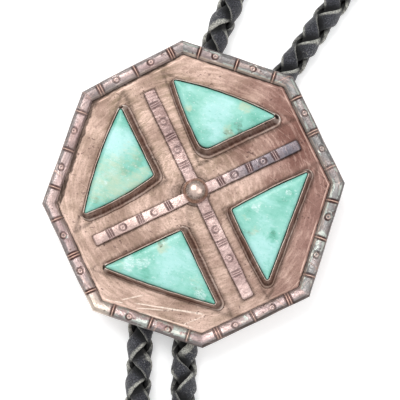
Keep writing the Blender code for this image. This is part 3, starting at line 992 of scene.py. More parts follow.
STONE_PLANS = (
    StonePlan(
        "stone_up", -1.2, 0.961, 1.027, 1.018, 0.885, -0.119,
        tips=(2.3, 0.35, 0.3), walls=(1.7, 0.6, 1.05), bows=(0.0, 0.78, 0.3), pits=(0.2, 1.0, 0.2),
        teal=((-7.3, 19.0, 1.3, 0.8), (-4.9, 19.4, 1.2, 0.7), (-9.7, 21.1, 0.8, 0.6),
              (-5.6, 16.9, 1.2, 0.8), (7.6, 20.3, 1.5, 0.8), (-2.2, 13.1, 1.3, 0.75),
              (-0.7, 10.7, 1.0, 0.6), (-5.2, 14.6, 1.3, 0.5), (3.8, 17.2, 1.5, 0.7)),
        cream=((-7.4, 17.1, 0.8, 0.8), (4.4, 21.6, 1.0, 1.0), (3.2, 14.8, 1.1, 0.7)),
        matrix=((4.1, 16.9, 0.8, 0.9), (2.6, 14.4, 0.8, 1.0), (4.6, 15.8, 0.7, 0.8)),
        pale=((-0.9, 18.2, 2.6, 1.0), (0.2, 20.6, 1.6, 0.8), (-0.2, 14.0, 2.0, 0.9))),
    StonePlan(
        "stone_right", -92.0, 0.948, 1.014, 1.034, 0.992, 0.051,
        tips=(0.45, 0.25, 0.25), walls=(1.1, 1.15, 0.75), bows=(0.2, 0.0, 0.25), pits=(0.0, 0.0, 0.5),
        teal=((18.8, 3.9, 1.6, 0.85), (19.2, 5.8, 1.4, 0.7), (17.2, 4.8, 1.2, 0.6),
              (12.2, -0.6, 1.3, 0.7), (11.4, 0.6, 1.0, 0.6), (17.9, 0.7, 1.5, 0.4),
              (20.2, 1.2, 1.0, 0.5), (18.6, -3.6, 1.0, 1.2)),
        cream=((15.4, -3.6, 1.0, 0.5), (11.9, -2.4, 0.6, 0.4)),
        matrix=((12.9, -4.4, 0.7, 0.6), (14.3, -4.9, 0.8, 0.7), (16.2, -3.4, 0.6, 0.45)),
        pale=((18.0, -7.2, 3.0, 0.9), (16.2, -1.6, 1.6, 0.4)),
        white=((13.4, 1.5, 0.7, 1.0), (14.0, 2.5, 0.5, 0.9), (19.6, 6.4, 0.45, 1.0))),
    StonePlan(
        "stone_down", 180.1, 0.933, 1.013, 0.974, 1.054, -0.002,
        tips=(0.4, 0.25, 0.25), walls=(0.75, 0.75, 1.7), bows=(0.0, 0.32, 0.0), pits=(0.3, 1.0, 0.15),
        teal=((-6.4, -17.4, 1.5, 0.95), (-4.4, -20.2, 1.4, 0.95), (-4.3, -16.2, 1.1, 0.7),
              (-6.1, -15.9, 0.5, 1.0), (6.0, -19.6, 1.0, 0.6), (8.4, -20.4, 1.3, 0.8),
              (10.6, -21.2, 0.8, 1.0), (-9.8, -19.2, 1.0, 0.5)),
        cream=((-2.6, -13.2, 1.1, 0.9), (-11.2, -20.6, 1.8, 0.35), (6.6, -18.8, 1.4, 0.3)),
        matrix=((-3.2, -13.5, 0.45, 1.2), (-2.3, -12.0, 0.35, 0.9), (7.3, -20.4, 0.3, 0.9)),
        pale=((0.0, -15.3, 2.6, 0.9), (2.9, -14.4, 2.0, 0.7), (0.4, -19.0, 2.0, 0.7)),
        white=((-8.3, -19.2, 1.1, 1.0), (-4.6, -17.7, 0.8, 1.0), (-6.0, -18.7, 0.9, 1.0),
               (-8.2, -20.4, 0.8, 0.9), (-8.5, -17.8, 0.7, 0.9), (8.2, -21.0, 0.9, 0.8))),
    StonePlan(
        "stone_left", 90.5, 1.006, 0.992, 0.955, 1.020, 0.065,
        tips=(0.5, 0.3, 0.25), walls=(1.7, 0.5, 1.6), bows=(0.0, 0.76, 0.55), pits=(0.0, 1.0, 0.3),
        teal=((-20.4, 9.8, 1.4, 0.7), (-13.9, 2.1, 1.4, 1.1), (-15.6, 0.3, 1.7, 0.95),
              (-16.1, -0.6, 0.8, 1.2), (-20.3, -1.0, 1.3, 0.7), (-20.0, -8.4, 1.1, 0.9),
              (-17.4, -7.6, 0.8, 0.6)),
        cream=((-11.9, 0.6, 1.1, 0.8), (-12.5, -1.2, 1.6, 0.8), (-13.7, -2.9, 1.8, 0.8),
               (-14.6, -4.4, 1.7, 0.75), (-16.6, -4.4, 2.6, 0.8), (-18.6, -1.2, 2.8, 0.7),
               (-19.3, -6.0, 2.6, 0.7), (-15.6, 2.6, 2.4, 0.5)),
        matrix=((-19.9, -2.1, 0.9, 0.5), (-20.0, -8.6, 0.7, 0.6), (-17.3, -7.8, 0.6, 0.5)),
        pale=((-19.2, 5.1, 2.8, 1.0), (-17.5, -1.9, 0.9, 0.8)),
        white=((-19.8, -2.9, 0.5, 0.7), (-18.8, -4.2, 0.5, 0.6))),
)


@dataclass
class Stones:
    """The four three-cornered stones and the bezel round each."""

    across: float = 0.0618
    plate_top: float = 0.0087
    height: float = 0.0026
    shoulder: float = 0.0012
    crown: float = 0.0008
    dome: float = 0.00012
    pit: float = 0.0005
    gap: float = 0.00016
    lip: float = 0.00020
    bezel_height: float = 0.00235
    bezel_foot: float = 0.0004
    pit_reach: float = 0.00048
    # How far out a stone's inner corner and its outer edge lie, and how far its outer corners reach aside
    corner_share: float = 0.1521
    edge_share: float = 0.3447
    aside_share: float = 0.2039
    plans: tuple[StonePlan, ...] = STONE_PLANS

    def corners(self, plan: StonePlan) -> np.ndarray:
        """A stone's three corners, the inner one first, then counter-clockwise."""
        half, out = self.aside_share * self.across, plan.edge * self.edge_share * self.across
        inner = (plan.aside * half, plan.corner * self.corner_share * self.across)
        points = np.array([inner, (plan.right * half, out), (-plan.left * half, out)])
        return points @ np.array(heading(plan.turn))

    def foot(self, plan: StonePlan) -> np.ndarray:
        """The corners of a bezel's foot on the plate."""
        return moved_edges(self.corners(plan), self.bezel_foot + np.array(plan.walls) * MM)

    @staticmethod
    def _spots(points: np.ndarray, spots: tuple, seed: float) -> np.ndarray:
        """How strongly a stone's spots of one kind colour each point.

        Args:
            points: The points.
            spots: Each spot's x, y and radius in millimetres, and its strength.
            seed: A number that picks the wander of their edges.

        Returns:
            The strength at each point, 0 to 1.
        """
        shift = [
            waver(points, 300.0, 0.0009, seed + k) + waver(points, 1300.0, 0.0006, seed + k) for k in (0, 40)
        ]
        total = np.zeros(points.shape[:-1])
        for x, y, radius, strength in spots:
            away = np.hypot(points[..., 0] + shift[0] - x * MM, points[..., 1] + shift[1] - y * MM)
            total = np.maximum(total, strength * np.clip(1.6 - 0.9 * away / (radius * MM), 0, 1))
        return total

    def stone(self, plan: StonePlan) -> bpy.types.Object:
        """A stone with sloped shoulders and a faintly domed top.

        Args:
            plan: The stone's plan.

        Returns:
            The stone.
        """
        corners = self.corners(plan)
        radii, bows = np.array(plan.tips) * MM, tuple(np.array(plan.bows) * MM)
        top = self.plate_top + self.height
        shape = [(0.0, self.plate_top + 0.0002), (0.0, top - self.crown)]
        for a in np.linspace(0, math.pi / 2, 7)[1:]:
            shape.append((-self.shoulder * (1 - math.cos(a)), top - self.crown * (1 - math.sin(a))))
        rows = []
        for out, z in shape:
            sizes = np.maximum(radii + out * 0.3, radii * 0.5)
            rows.append(at_height(softened(moved_edges(corners, out), sizes, 70, 8, bows), z))
        rim = rows[-1]
        middle = np.array([*rim[:, :2].mean(0), top])
        for share in np.linspace(0, 1, 44)[1:-1]:
            ring = rim + (middle - rim) * share
            ring[:, 2] = top + self.dome * (1 - (1 - share) ** 2)
            rows.append(ring)
        grid = np.array(rows)
        grid[..., 2] += waver(grid, 260.0, 0.00006, plan.turn)
        kinds = ("teal", "cream", "matrix", "pale", "white")
        painted = {kind: self._spots(grid, getattr(plan, kind), float(i)) for i, kind in enumerate(kinds)}
        return grid_object(plan.name + "_cut", grid, wrap_columns=True, caps=True, painted=painted)

    def bezel(self, plan: StonePlan) -> bpy.types.Object:
        """The wall round a stone: a thin lip with a painted highlight, a wall with painted shade under the
        lip and at its base, and a spread foot.

        Args:
            plan: The stone's plan.

        Returns:
            The bezel.
        """
        corners = self.corners(plan)
        top, base = self.plate_top + self.bezel_height, self.plate_top
        inner, edge = self.gap, self.gap + self.lip
        # How far out, the share of the wall's own width that is added, how high, how much painted shade, how
        # much painted highlight
        shape = [
            (inner, 0.0, base - 0.0002, 1.0, 0.0), (inner, 0.0, base + 0.001, 1.0, 0.0),
            (inner - 0.00003, 0.0, top - 0.0002, 0.6, 0.0), (inner, 0.0, top, 0.0, 0.5),
            (inner + 0.5 * self.lip, 0.0, top + 0.00004, 0.0, 0.8), (edge, 0.0, top - 0.00004, 0.0, 0.4),
            (edge + 0.00004, 0.0, top - 0.00028, 0.45, 0.0), (edge, 0.10, top - 0.00045, 0.1, 0.1),
            (edge, 0.26, top - 0.0009, 0.12, 0.0), (edge, 0.38, base + 0.0011, 0.5, 0.0),
            (edge, 0.48, base + 0.00075, 0.85, 0.0), (edge, 0.58, base + 0.0005, 0.75, 0.0),
            (edge, 0.66, base + 0.0004, 0.3, 0.0), (edge, 0.74, base + 0.00036, 0.0, 0.2),
            (edge, 0.82, base + 0.00030, 0.0, 0.15), (edge, 0.90, base + 0.0002, 0.3, 0.0),
            (edge, 0.97, base + 0.00004, 0.8, 0.0), (edge, 1.02, base - 0.0002, 0.8, 0.0),
        ]
        walls, bows = np.array(plan.walls) * MM, tuple(np.array(plan.bows) * MM)
        outlines = []
        for out, share, *_ in shape:
            radii = 0.00012 + np.array(plan.tips) * MM * 0.7 + (out + walls.mean() * share) * 0.9
            outlines.append(softened(moved_edges(corners, out + walls * share), radii, 80, 12, bows))
        struck = []
        for tip in corners:
            way = (tip - corners.mean(0)) / np.linalg.norm(tip - corners.mean(0))
            nearest = outlines[0][np.linalg.norm(outlines[0] - tip, axis=1).argmin()]
            struck.append(nearest + way * self.pit)
        rows, grime, ridge, sunk = [], [], [], []
        for (_, _, z, dirt_and_shade, bright), outline in zip(shape, outlines, strict=True):
            away = [np.linalg.norm(outline - place, axis=1) / self.pit_reach for place in struck]
            pit, rim = (
                np.max([np.clip(form(a), 0, 1) * hit for a, hit in zip(away, plan.pits, strict=True)], axis=0)
                for form in (lambda a: 3.6 - 3 * a, lambda a: 1.3 - abs(a - 1.8))
            )
            lifted = 1.0 if z > base + 0.00032 else 0.0
            rows.append(at_height(outline, z))
            # Painted shade on the wall and in the pits, and painted highlights on the lip and round the pits
            grime.append(np.maximum(dirt_and_shade * (1 - rim * 0.8), pit * lifted))
            ridge.append(np.maximum(bright * 0.45, rim * lifted) * (1 - pit))
            sunk.append(pit * lifted)
        grid = np.array(rows)
        grid[..., 2] -= np.array(sunk) * self.pit
        grid[3:9, :, 2] += waver(grid, 700.0, 0.00010, 5.0 + plan.turn)[3:9]
        grid += level_away(grid, grid.mean((0, 1))) * waver(grid, 420.0, 0.00013, 9.0 + plan.turn)[..., None]
        painted = {"grime": np.array(grime), "ridge": np.array(ridge), "groove": np.array(sunk)}
        return grid_object(plan.name + "_bezel", grid, wrap_rows=True, wrap_columns=True, painted=painted)

    def build(self, groups: EffectGroups) -> None:
        """Makes and dresses every stone and bezel.

        Args:
            groups: The shared shader groups.
        """
        stone_look = Turquoise().build(groups)
        # Its ridge colour serves the scratches and the painted highlight of lips and pit rims; its groove
        # colour the rust and the painted shade in the pits
        bezel_look = WornSilver(
            "bezel_silver", bright=tone(200, 178, 166), dull=tone(156, 122, 107), grime=tone(82, 51, 42),
            ridge=tone(222, 210, 200), groove=tone(16, 12, 10), red_share=0.2, scratch_share=0.15,
            roughness=0.38,
        ).build(groups)
        for plan in self.plans:
            dress(self.stone(plan), stone_look, "turquoise", plan.name)
            dress(self.bezel(plan), bezel_look, "slide_silver", "slide")


@dataclass
class Slide:
    """The eight-sided silver plate with its stamped frame, crossed bars and ball."""

    across: float = 0.0618
    back: float = 0.0077
    top: float = 0.0087
    frame_width: float = 0.0028
    frame_height: float = 0.0012
    bar_width: float = 0.0025
    bar_height: float = 0.00085
    bar_half: float = 0.0247
    ball: tuple[float, float, float] = (0.00014, 0.00053, 0.00275)
    corner_shares: tuple[tuple[float, float], ...] = (
        (0.983, 0.2), (1.008, 1.3), (1.022, 0.7), (0.995, -1.2),
        (0.988, 0.1), (1.006, 0.5), (1.002, -0.7), (1.001, -0.8),
    )
    # Each bar's turn, its middle, and its length and width as shares of the common ones
    bars: tuple[tuple[float, float, float, float, float], ...] = (
        (44.2, 0.00055, 0.00036, 1.0, 1.0), (-45.8, 0.00084, 0.00028, 1.02, 1.12),
    )
    side_greys: tuple[float, ...] = (0.85, 0.7, 0.35, 0.15, 0.1, 0.15, 0.3, 0.85)
    # How far the painted shadow reaches from each side of the frame onto the plate, in millimetres
    side_dirt: tuple[float, ...] = (0.35, 0.45, 0.6, 1.1, 0.35, 0.25, 0.25, 0.35)
    side_lips: tuple[float, ...] = (0.5, 0.85, 0.4, 0.0, 0.3, 0.3, 0.2, 0.5)
    # How strong each side's painted highlight just inside the frame is
    side_lines: tuple[float, ...] = (0.6, 0.65, 0.95, 0.15, 0.6, 0.6, 0.3, 0.8)
    # How much painted shade lies on each side's outer slope, and how much of each side is patched with pale
    # silver
    side_dark: tuple[float, ...] = (0.2, 0.0, 0.0, 0.0, 0.0, 0.1, 0.75, 0.35)
    side_patches: tuple[float, ...] = (0.1, 0.0, 0.0, 0.0, 0.1, 0.55, 0.15, 0.3)
    # Marks along each arm: the arm's direction, then distances from the ball of its lines and its rings
    arms: tuple[tuple[float, tuple[float, ...], tuple[float, ...]], ...] = (
        (42.6, (5.9, 12.8, 19.0), (9.2, 16.1)),
        (225.7, (6.6, 13.4, 20.6), (10.0, 17.6)),
        (134.0, (6.3, 13.1, 21.0), (9.9, 16.8)),
        (314.5, (6.1, 12.7, 20.0), (9.5, 16.4)),
    )
    stones: Stones = field(default_factory=Stones)

    def outline(self) -> np.ndarray:
        """The plate's corners, counter-clockwise.

        Returns:
            The corners.
        """
        step = 2 * math.pi / len(self.corner_shares)
        radius = self.across / 2 / math.cos(step / 2)
        points = []
        for i, (out, turn) in enumerate(self.corner_shares):
            a = step * (i + 0.5) + math.radians(turn)
            points.append((math.cos(a) * radius * out, math.sin(a) * radius * out))
        return np.array(points)

    @staticmethod
    def _edges(corners: np.ndarray, points: np.ndarray) -> list[np.ndarray]:
        """The distance of each point from each edge of an outline."""
        found = []
        for a, b in zip(corners, np.roll(corners, -1, 0), strict=True):
            way = b - a
            share = np.clip(((points - a) @ way) / (way @ way), 0, 1)
            found.append(np.linalg.norm(points - a - share[..., None] * way, axis=-1))
        return found

    def grime(self, points: np.ndarray) -> np.ndarray:
        """Dirt and painted shade on the plate beside whatever stands on it, with a painted shadow along the
        frame's inside.

        Args:
            points: Points on the plate.

        Returns:
            The dirt and painted shade at each, 0 to 1.
        """
        flat = points[..., :2]
        uneven = 1 + waver(points, 260.0, 0.9, 12.0)
        ragged = 0.82 + waver(points, 1100.0, 0.4, 14.0) + 0.25 * (uneven - 1)
        dirt_and_shade = []
        # Painted shade beside each bezel, wider and darker beside its wider walls
        for plan in self.stones.plans:
            for wall, away in zip(plan.walls, self._edges(self.stones.foot(plan), flat), strict=True):
                reach = (0.0004 + 0.15 * wall * MM) * uneven
                dirt_and_shade.append(np.clip(1 - away / reach, 0, 1) * (0.4 + 0.08 * wall))
        inner = moved_edges(self.outline(), -self.frame_width)
        # A painted shadow of the frame along its inside, widest on the left
        for reach, away in zip(self.side_dirt, self._edges(inner, flat), strict=True):
            dirt_and_shade.append(np.clip((reach * MM * ragged - away) / 0.00018, 0, 1) * 0.85)
        # A painted shadow in the frame's upper-left inner corner
        away = np.linalg.norm(flat - inner[3], axis=-1)
        dirt_and_shade.append(np.clip(1.5 - away / (0.0013 * uneven), 0, 1) * 0.95)
        # Painted shade beside the bars
        for turn, x, y, long, wide in self.bars:
            along, across = (np.abs((flat - (x, y)) @ way) for way in heading(turn))
            past_end = np.clip(along - self.bar_half * long, 0, None)
            away = np.hypot(past_end, np.clip(across - self.bar_width * wide / 2, 0, None))
            dirt_and_shade.append(np.clip(1 - away / (0.0004 * uneven), 0, 1) * 0.6)
        # Painted shade round the ball
        away = np.linalg.norm(flat - np.array(self.ball[:2]), axis=-1)
        dirt_and_shade.append(np.clip((0.0042 * uneven - away) / 0.0018, 0, 1) * 0.4)
        return np.max(dirt_and_shade, axis=0)

    def olive(self, points: np.ndarray) -> np.ndarray:
        """The olive round the bezels, partly stain and partly painted shade, 0 to 1 at each of the plate's
        points.
        """
        uneven = 1 + waver(points, 190.0, 1.2, 21.0)
        feet = [self._edges(self.stones.foot(plan), points[..., :2]) for plan in self.stones.plans]
        away = np.min(feet, axis=(0, 1))
        upper = np.clip(0.55 + points[..., 1] / 0.018, 0.1, 1.0)
        return np.clip(1.2 - away / (0.0026 * uneven), 0, 1) * upper

    def pale_lines(self, points: np.ndarray) -> np.ndarray:
        """The thin pale line just inside the frame, a painted highlight along a low ridge, 0 to 1 at each of
        the plate's points.
        """
        edges = self._edges(moved_edges(self.outline(), -self.frame_width), points[..., :2])
        lines = [
            np.clip(1.3 - np.abs(away - (reach + 0.22) * MM) / 0.00012, 0, 1) * strength
            for away, reach, strength in zip(edges, self.side_dirt, self.side_lines, strict=True)
        ]
        return np.max(lines, axis=0) * np.clip(0.75 + waver(points, 500.0, 1.6, 51.0), 0, 1)

    def plate(self) -> bpy.types.Object:
        """Makes the thin plate, its face faintly uneven."""
        outline = softened(moved_edges(self.outline(), -0.00012), [0.0003] * 8, 48, 4)
        shares = [*np.linspace(0.01, 0.79, 84), *np.linspace(0.795, 0.915, 56), 0.94, 0.97, 1.0]
        rows = [at_height(outline * share, self.top) for share in shares]
        for inset, z in (
            (0.0, self.top - 0.00015), (0.0, self.back + 0.0002), (0.00008, self.back + 0.00005),
            (0.0002, self.back),
        ):
            rows.append(at_height(outline * (1 - inset / 0.03), z))
        rows += [at_height(outline * share, self.back) for share in (0.9, 0.7, 0.5, 0.3, 0.12)]
        grid = np.array(rows)
        face = grid[:len(shares)]
        face[..., 2] += waver(face, 110.0, 0.00005, 2.0) + waver(face, 420.0, 0.000015, 6.0)
        painted = {}
        for key, paint in (("grime", self.grime), ("olive", self.olive), ("ridge", self.pale_lines)):
            painted[key] = np.zeros(grid.shape[:2])
            painted[key][:len(shares)] = paint(face)
        return grid_object("plate_face", grid, wrap_columns=True, caps=True, painted=painted)

    def frame_strip(self) -> bpy.types.Object:
        """The convex strip round the edge, mitred at its corners.

        Returns:
            The strip, before it is stamped.
        """
        wide, slope = self.frame_width, 0.00062
        # How far in from the edge, how high above the plate, how grey, how much painted shade, whether it may
        # be struck
        profile = [(0.0, self.back + 0.00035 - self.top, 1.0, 0.0, 0.0), (0.0, 0.0003, 1.0, 0.0, 0.0)]
        for k in range(6):
            a = math.pi / 2 * k / 5
            inset, rise = slope * (1 - math.cos(a)), 0.0003 + 0.00066 * math.sin(a)
            profile.append((inset, rise, 1.0, 0.0, min(1.0, k / 4)))
        for share in np.linspace(0, 1, 15)[1:]:
            inset = slope + (wide - slope) * share
            rise = self.frame_height * (1 - 0.9 * (share - 0.22) ** 2) - 0.00009
            rise -= max(0.0, share - 0.9) * 0.0022
            # The inner part of the top is given painted shade
            profile.append((inset, rise, max(0.0, 1 - share * 2.4), max(0.0, share * 4 - 3.3), 1.0))
        # The inner wall and its foot are painted fully shaded
        profile += [(wide + 0.00002, 0.00042, 0.0, 1.0, 0.4), (wide + 0.00006, -0.0002, 0.0, 1.0, 0.0)]
        table = np.array(profile)
        outline = self.outline()
        rings = np.array([moved_edges(outline, -inset) for inset in table[:, 0]])
        steps = 210
        shares = (np.arange(steps) / steps)[:, None, None]
        sides = [rings[:, i] + (rings[:, (i + 1) % 8] - rings[:, i]) * shares for i in range(8)]
        flat = np.concatenate(sides)
        grid = np.dstack([flat, np.broadcast_to(self.top + table[:, 1], flat.shape[:2])])

        def across(low: float, high: float) -> np.ndarray:
            """1 on the rows of points that lie so far in from the edge."""
            return ((low < table[:, 0]) & (table[:, 0] < high)).astype(float)

        def along(values: tuple[float, ...]) -> np.ndarray:
            """Each side's own value on all of its points."""
            return np.repeat(values, steps)[:, None]

        loose = 0.3 + 0.7 * across(-1.0, 0.0007)
        grid += level_away(grid) * (waver(grid, 160.0, 0.00016, 8.0) * loose)[..., None]
        outer = across(-1.0, 0.0006)
        mottled = np.clip(along(self.side_greys) + waver(grid, 230.0, 1.1, 31.0) * 0.6, 0, 0.92)
        patches = along(self.side_patches) * (1 - outer * 0.6)
        patches = patches + waver(grid, 330.0, 0.5, 44.0) * (patches > 0.05)
        # Pale lines along the outer shoulder and the inner part of the top on the grey sides: painted
        # highlights
        edges = (across(0.0003, 0.0008) + across(0.0020, 0.0024)) * (along(self.side_greys) > 0.6)
        edges = edges * (0.55 + waver(grid, 400.0, 0.6, 61.0))
        lips = across(0.0022, wide - 0.00002) * along(self.side_lips) * (0.8 + waver(grid, 500.0, 0.7, 71.0))
        cream = np.clip(1.5 - np.linalg.norm(grid[..., :2] - outline[5], axis=-1) / 0.0036, 0, 1) * 0.9
        painted = {
            "rim": np.maximum(table[:, 2] * 0.7, mottled),
            # Painted shade on the inner slope, its foot and some sides' outer slopes
            "grime": np.maximum(table[:, 3], along(self.side_dark) * outer) * (1 - np.clip(lips, 0, 1)),
            "press": np.tile(table[:, 4], (len(grid), 1)),
            "patch": np.maximum(patches, edges),
            "cream": np.clip(np.maximum(cream, lips), 0, 1),
        }
        return grid_object("frame_strip", grid, wrap_rows=True, wrap_columns=True, painted=painted)

    def frame_stamps(self) -> list[Stamp]:
        """Three line marks and two rings on each side of the frame."""
        middle = moved_edges(self.outline(), -self.frame_width * 0.5)
        stamps = []
        for i in range(8):
            a, b = middle[i], middle[(i + 1) % 8]
            way = (b - a) / np.linalg.norm(b - a)
            for k, at in enumerate((-8.6, -4.25, 0.0, 4.35, 8.6)):
                slip = math.sin(i * 5.3 + k * 2.9)
                kind = Mark.RING if k % 2 else Mark.LINES if (i * 3 + k) % 4 == 2 else Mark.PAIR
                place = (a + b) / 2 + way * (at + 0.3 * slip) * MM
                if kind is Mark.RING:
                    place = place + np.array([way[1], -way[0]]) * 0.00010
                turn = math.atan2(way[1], way[0]) + 0.12 * math.sin(i * 3.1 + k * 4.7)
                stamps.append(Stamp(kind, *place, turn, 0.62 + 0.45 * abs(slip)))
        return stamps

    def bar(self, number: int) -> bpy.types.Object:
        """One of the two crossed bars, with softened edges and rounded ends.

        Args:
            number: Which bar, 0 or 1.

        Returns:
            The bar, before it is stamped.
        """
        turn, x, y, long, wide = self.bars[number]
        high, rounding = self.bar_height - 0.0001 * number, 0.0006
        half, reach = self.bar_width * wide / 2, self.bar_half * long
        # How far across, how high, whether it may be struck
        shape = [(-half, -0.0002, 0.0), (-half, high * 0.55, 0.2)]
        for k in range(1, 5):
            a = math.pi / 2 * k / 4
            shape.append((-half + 0.0003 * (1 - math.cos(a)), high * (0.55 + 0.36 * math.sin(a)), k / 4))
        for share in np.linspace(-1, 1, 11)[1:-1]:
            shape.append((share * (half - 0.0003), high * (1 - 0.09 * share**2), 1.0))
        shape += [(-across, z, press) for across, z, press in reversed(shape[:6])]
        way, aside = heading(turn)
        rows = []
        ends = 1 - rounding / reach * (1 - np.cos(np.linspace(0, math.pi / 2, 8)))
        for at in [*-ends, *np.linspace(-ends[-1], ends[-1], 430)[1:-1], *ends[::-1]]:
            gone = max(0.0, 1 - (1 - abs(at)) * reach / rounding)
            narrow = 1 - rounding / half * (1 - math.sqrt(max(0.0, 1 - gone**2)))
            place = np.array([x, y]) + way * at * reach
            flare = 1 + 0.03 * math.sin(at * 17 + number * 2)
            lower = 1 - 0.35 * gone**3
            rows.append([
                (*(place + aside * across * narrow * flare), self.top + (z if z < 0 else z * lower))
                for across, z, _ in shape
            ])
        grid = np.array(rows)
        press = np.tile([row[2] for row in shape], (len(grid), 1))
        out = (grid[..., :2] - np.array([x, y])) @ way
        painted = {
            "press": press,
            # Painted shade on the bar's lower sides, where it meets the plate
            "grime": (press < 0.5) * 0.65,
            "rim": np.clip((out * (1 - number) - 0.003) / 0.012, 0, 0.85) + waver(grid, 300.0, 0.3, 17.0),
            "olive": np.clip((out * -number - 0.002) / 0.010, 0, 0.9),
            "cream": np.clip((-out * (1 - number) - 0.002) / 0.012, 0, 0.35),
        }
        return grid_object(f"bar_{number + 1}", grid, wrap_columns=True, caps=True, painted=painted)

    def bar_stamps(self, number: int) -> list[Stamp]:
        """The marks along one of the two bars."""
        turn, x, y = self.bars[number][:3]
        way, middle = heading(turn)[0], np.array([x, y])
        start = float((np.array(self.ball[:2]) - middle) @ way)
        stamps = []
        for k, (direction, lines, rings) in enumerate(self.arms):
            sign = math.cos(math.radians(direction - turn))
            if abs(sign) < 0.7:
                continue
            for kind, at in [(Mark.LINES, at) for at in lines] + [(Mark.RING, at) for at in rings]:
                place = middle + way * (start + math.copysign(at * MM, sign))
                slip = math.sin(at * 7.7 + k)
                stamps.append(Stamp(kind, *place, math.radians(turn) + 0.08 * slip, 0.6 + 0.4 * abs(slip)))
        return stamps

    def centre_ball(self) -> bpy.types.Object:
        """Makes the ball near the crossing, on a thin ring of solder."""
        x, y, radius = self.ball
        height = self.top + 0.0011
        profile = [(0.0035, self.top - 0.0001), (0.0031, self.top + 0.0001), (0.00282, self.top + 0.0004)]
        for lift in np.radians(np.linspace(-18, 89, 20)):
            profile.append((radius * math.cos(lift), height + radius * math.sin(lift)))
        grid = lathed(profile, 64) + (x, y, 0)
        grid[3:, :, 2] += waver(grid[3:], 500.0, 0.00004, 4.0)
        # Painted shade round the ball's foot and on its solder ring
        grime = np.array([0.4, 0.5, 0.8, 0.8, 0.6, 0.4, 0.2] + [0.0] * (len(profile) - 7))
        painted = {"grime": np.tile(grime[:, None], 64)}
        return grid_object("centre_ball", grid, wrap_columns=True, caps=True, painted=painted)

    def build(self, groups: EffectGroups) -> None:
        """Makes and dresses the slide.

        Args:
            groups: The shared shader groups.
        """
        plate_look = WornSilver(
            "plate_silver",
            scored_lines=(
                (-10.8, -28.0, 8.0, 4.0), (-4.8, -26.7, 9.0, 16.0), (0.2, -25.8, 9.5, 10.5),
                (-4.0, -27.6, 14.0, 7.5), (6.8, -27.9, 43.0, 5.2), (-5.8, -28.4, 2.5, 15.5),
                (-7.5, -27.0, 31.0, 5.0),
            ),
        ).build(groups)
        strip_look = WornSilver(
            "strip_silver", bright=tone(218, 192, 188), dull=tone(160, 132, 132), ridge=tone(248, 204, 184),
            grey=tone(126, 127, 126), pale=tone(188, 196, 188),
            red_share=0.1, olive_share=0.2, roughness=0.34, metallic=0.8, relief=0.8,
        ).build(groups)
        bar_look = WornSilver(
            "bar_silver", bright=tone(224, 198, 190), dull=tone(168, 142, 138), groove=tone(96, 72, 74),
            ridge=tone(230, 200, 192), grey=tone(108, 104, 112), olive=tone(142, 116, 110),
            cream=tone(222, 196, 184), red_share=0.1, olive_share=0.75, roughness=0.38, metallic=0.8,
            relief=0.8,
        ).build(groups)
        ball_look = WornSilver(
            "ball_silver", bright=tone(226, 202, 190), dull=tone(176, 148, 136), red_share=0.0,
            olive_share=0.0, roughness=0.27, metallic=0.95, scratch_share=0.3, relief=0.12,
        ).build(groups)
        dress(self.plate(), plate_look, "slide_silver", "slide")
        strip = StampPress().press(self.frame_strip(), self.frame_stamps(), strip_look)
        dress(strip, None, "slide_silver", "slide")
        for number in (0, 1):
            press = StampPress(line_gap=0.00048, line_reach=0.0018, ring_radius=0.00074, seed=5.0 + number)
            bar = press.press(self.bar(number), self.bar_stamps(number), bar_look)
            dress(bar, None, "slide_silver", "slide")
        dress(self.centre_ball(), ball_look, "slide_silver", "slide")
        self.stones.build(groups)


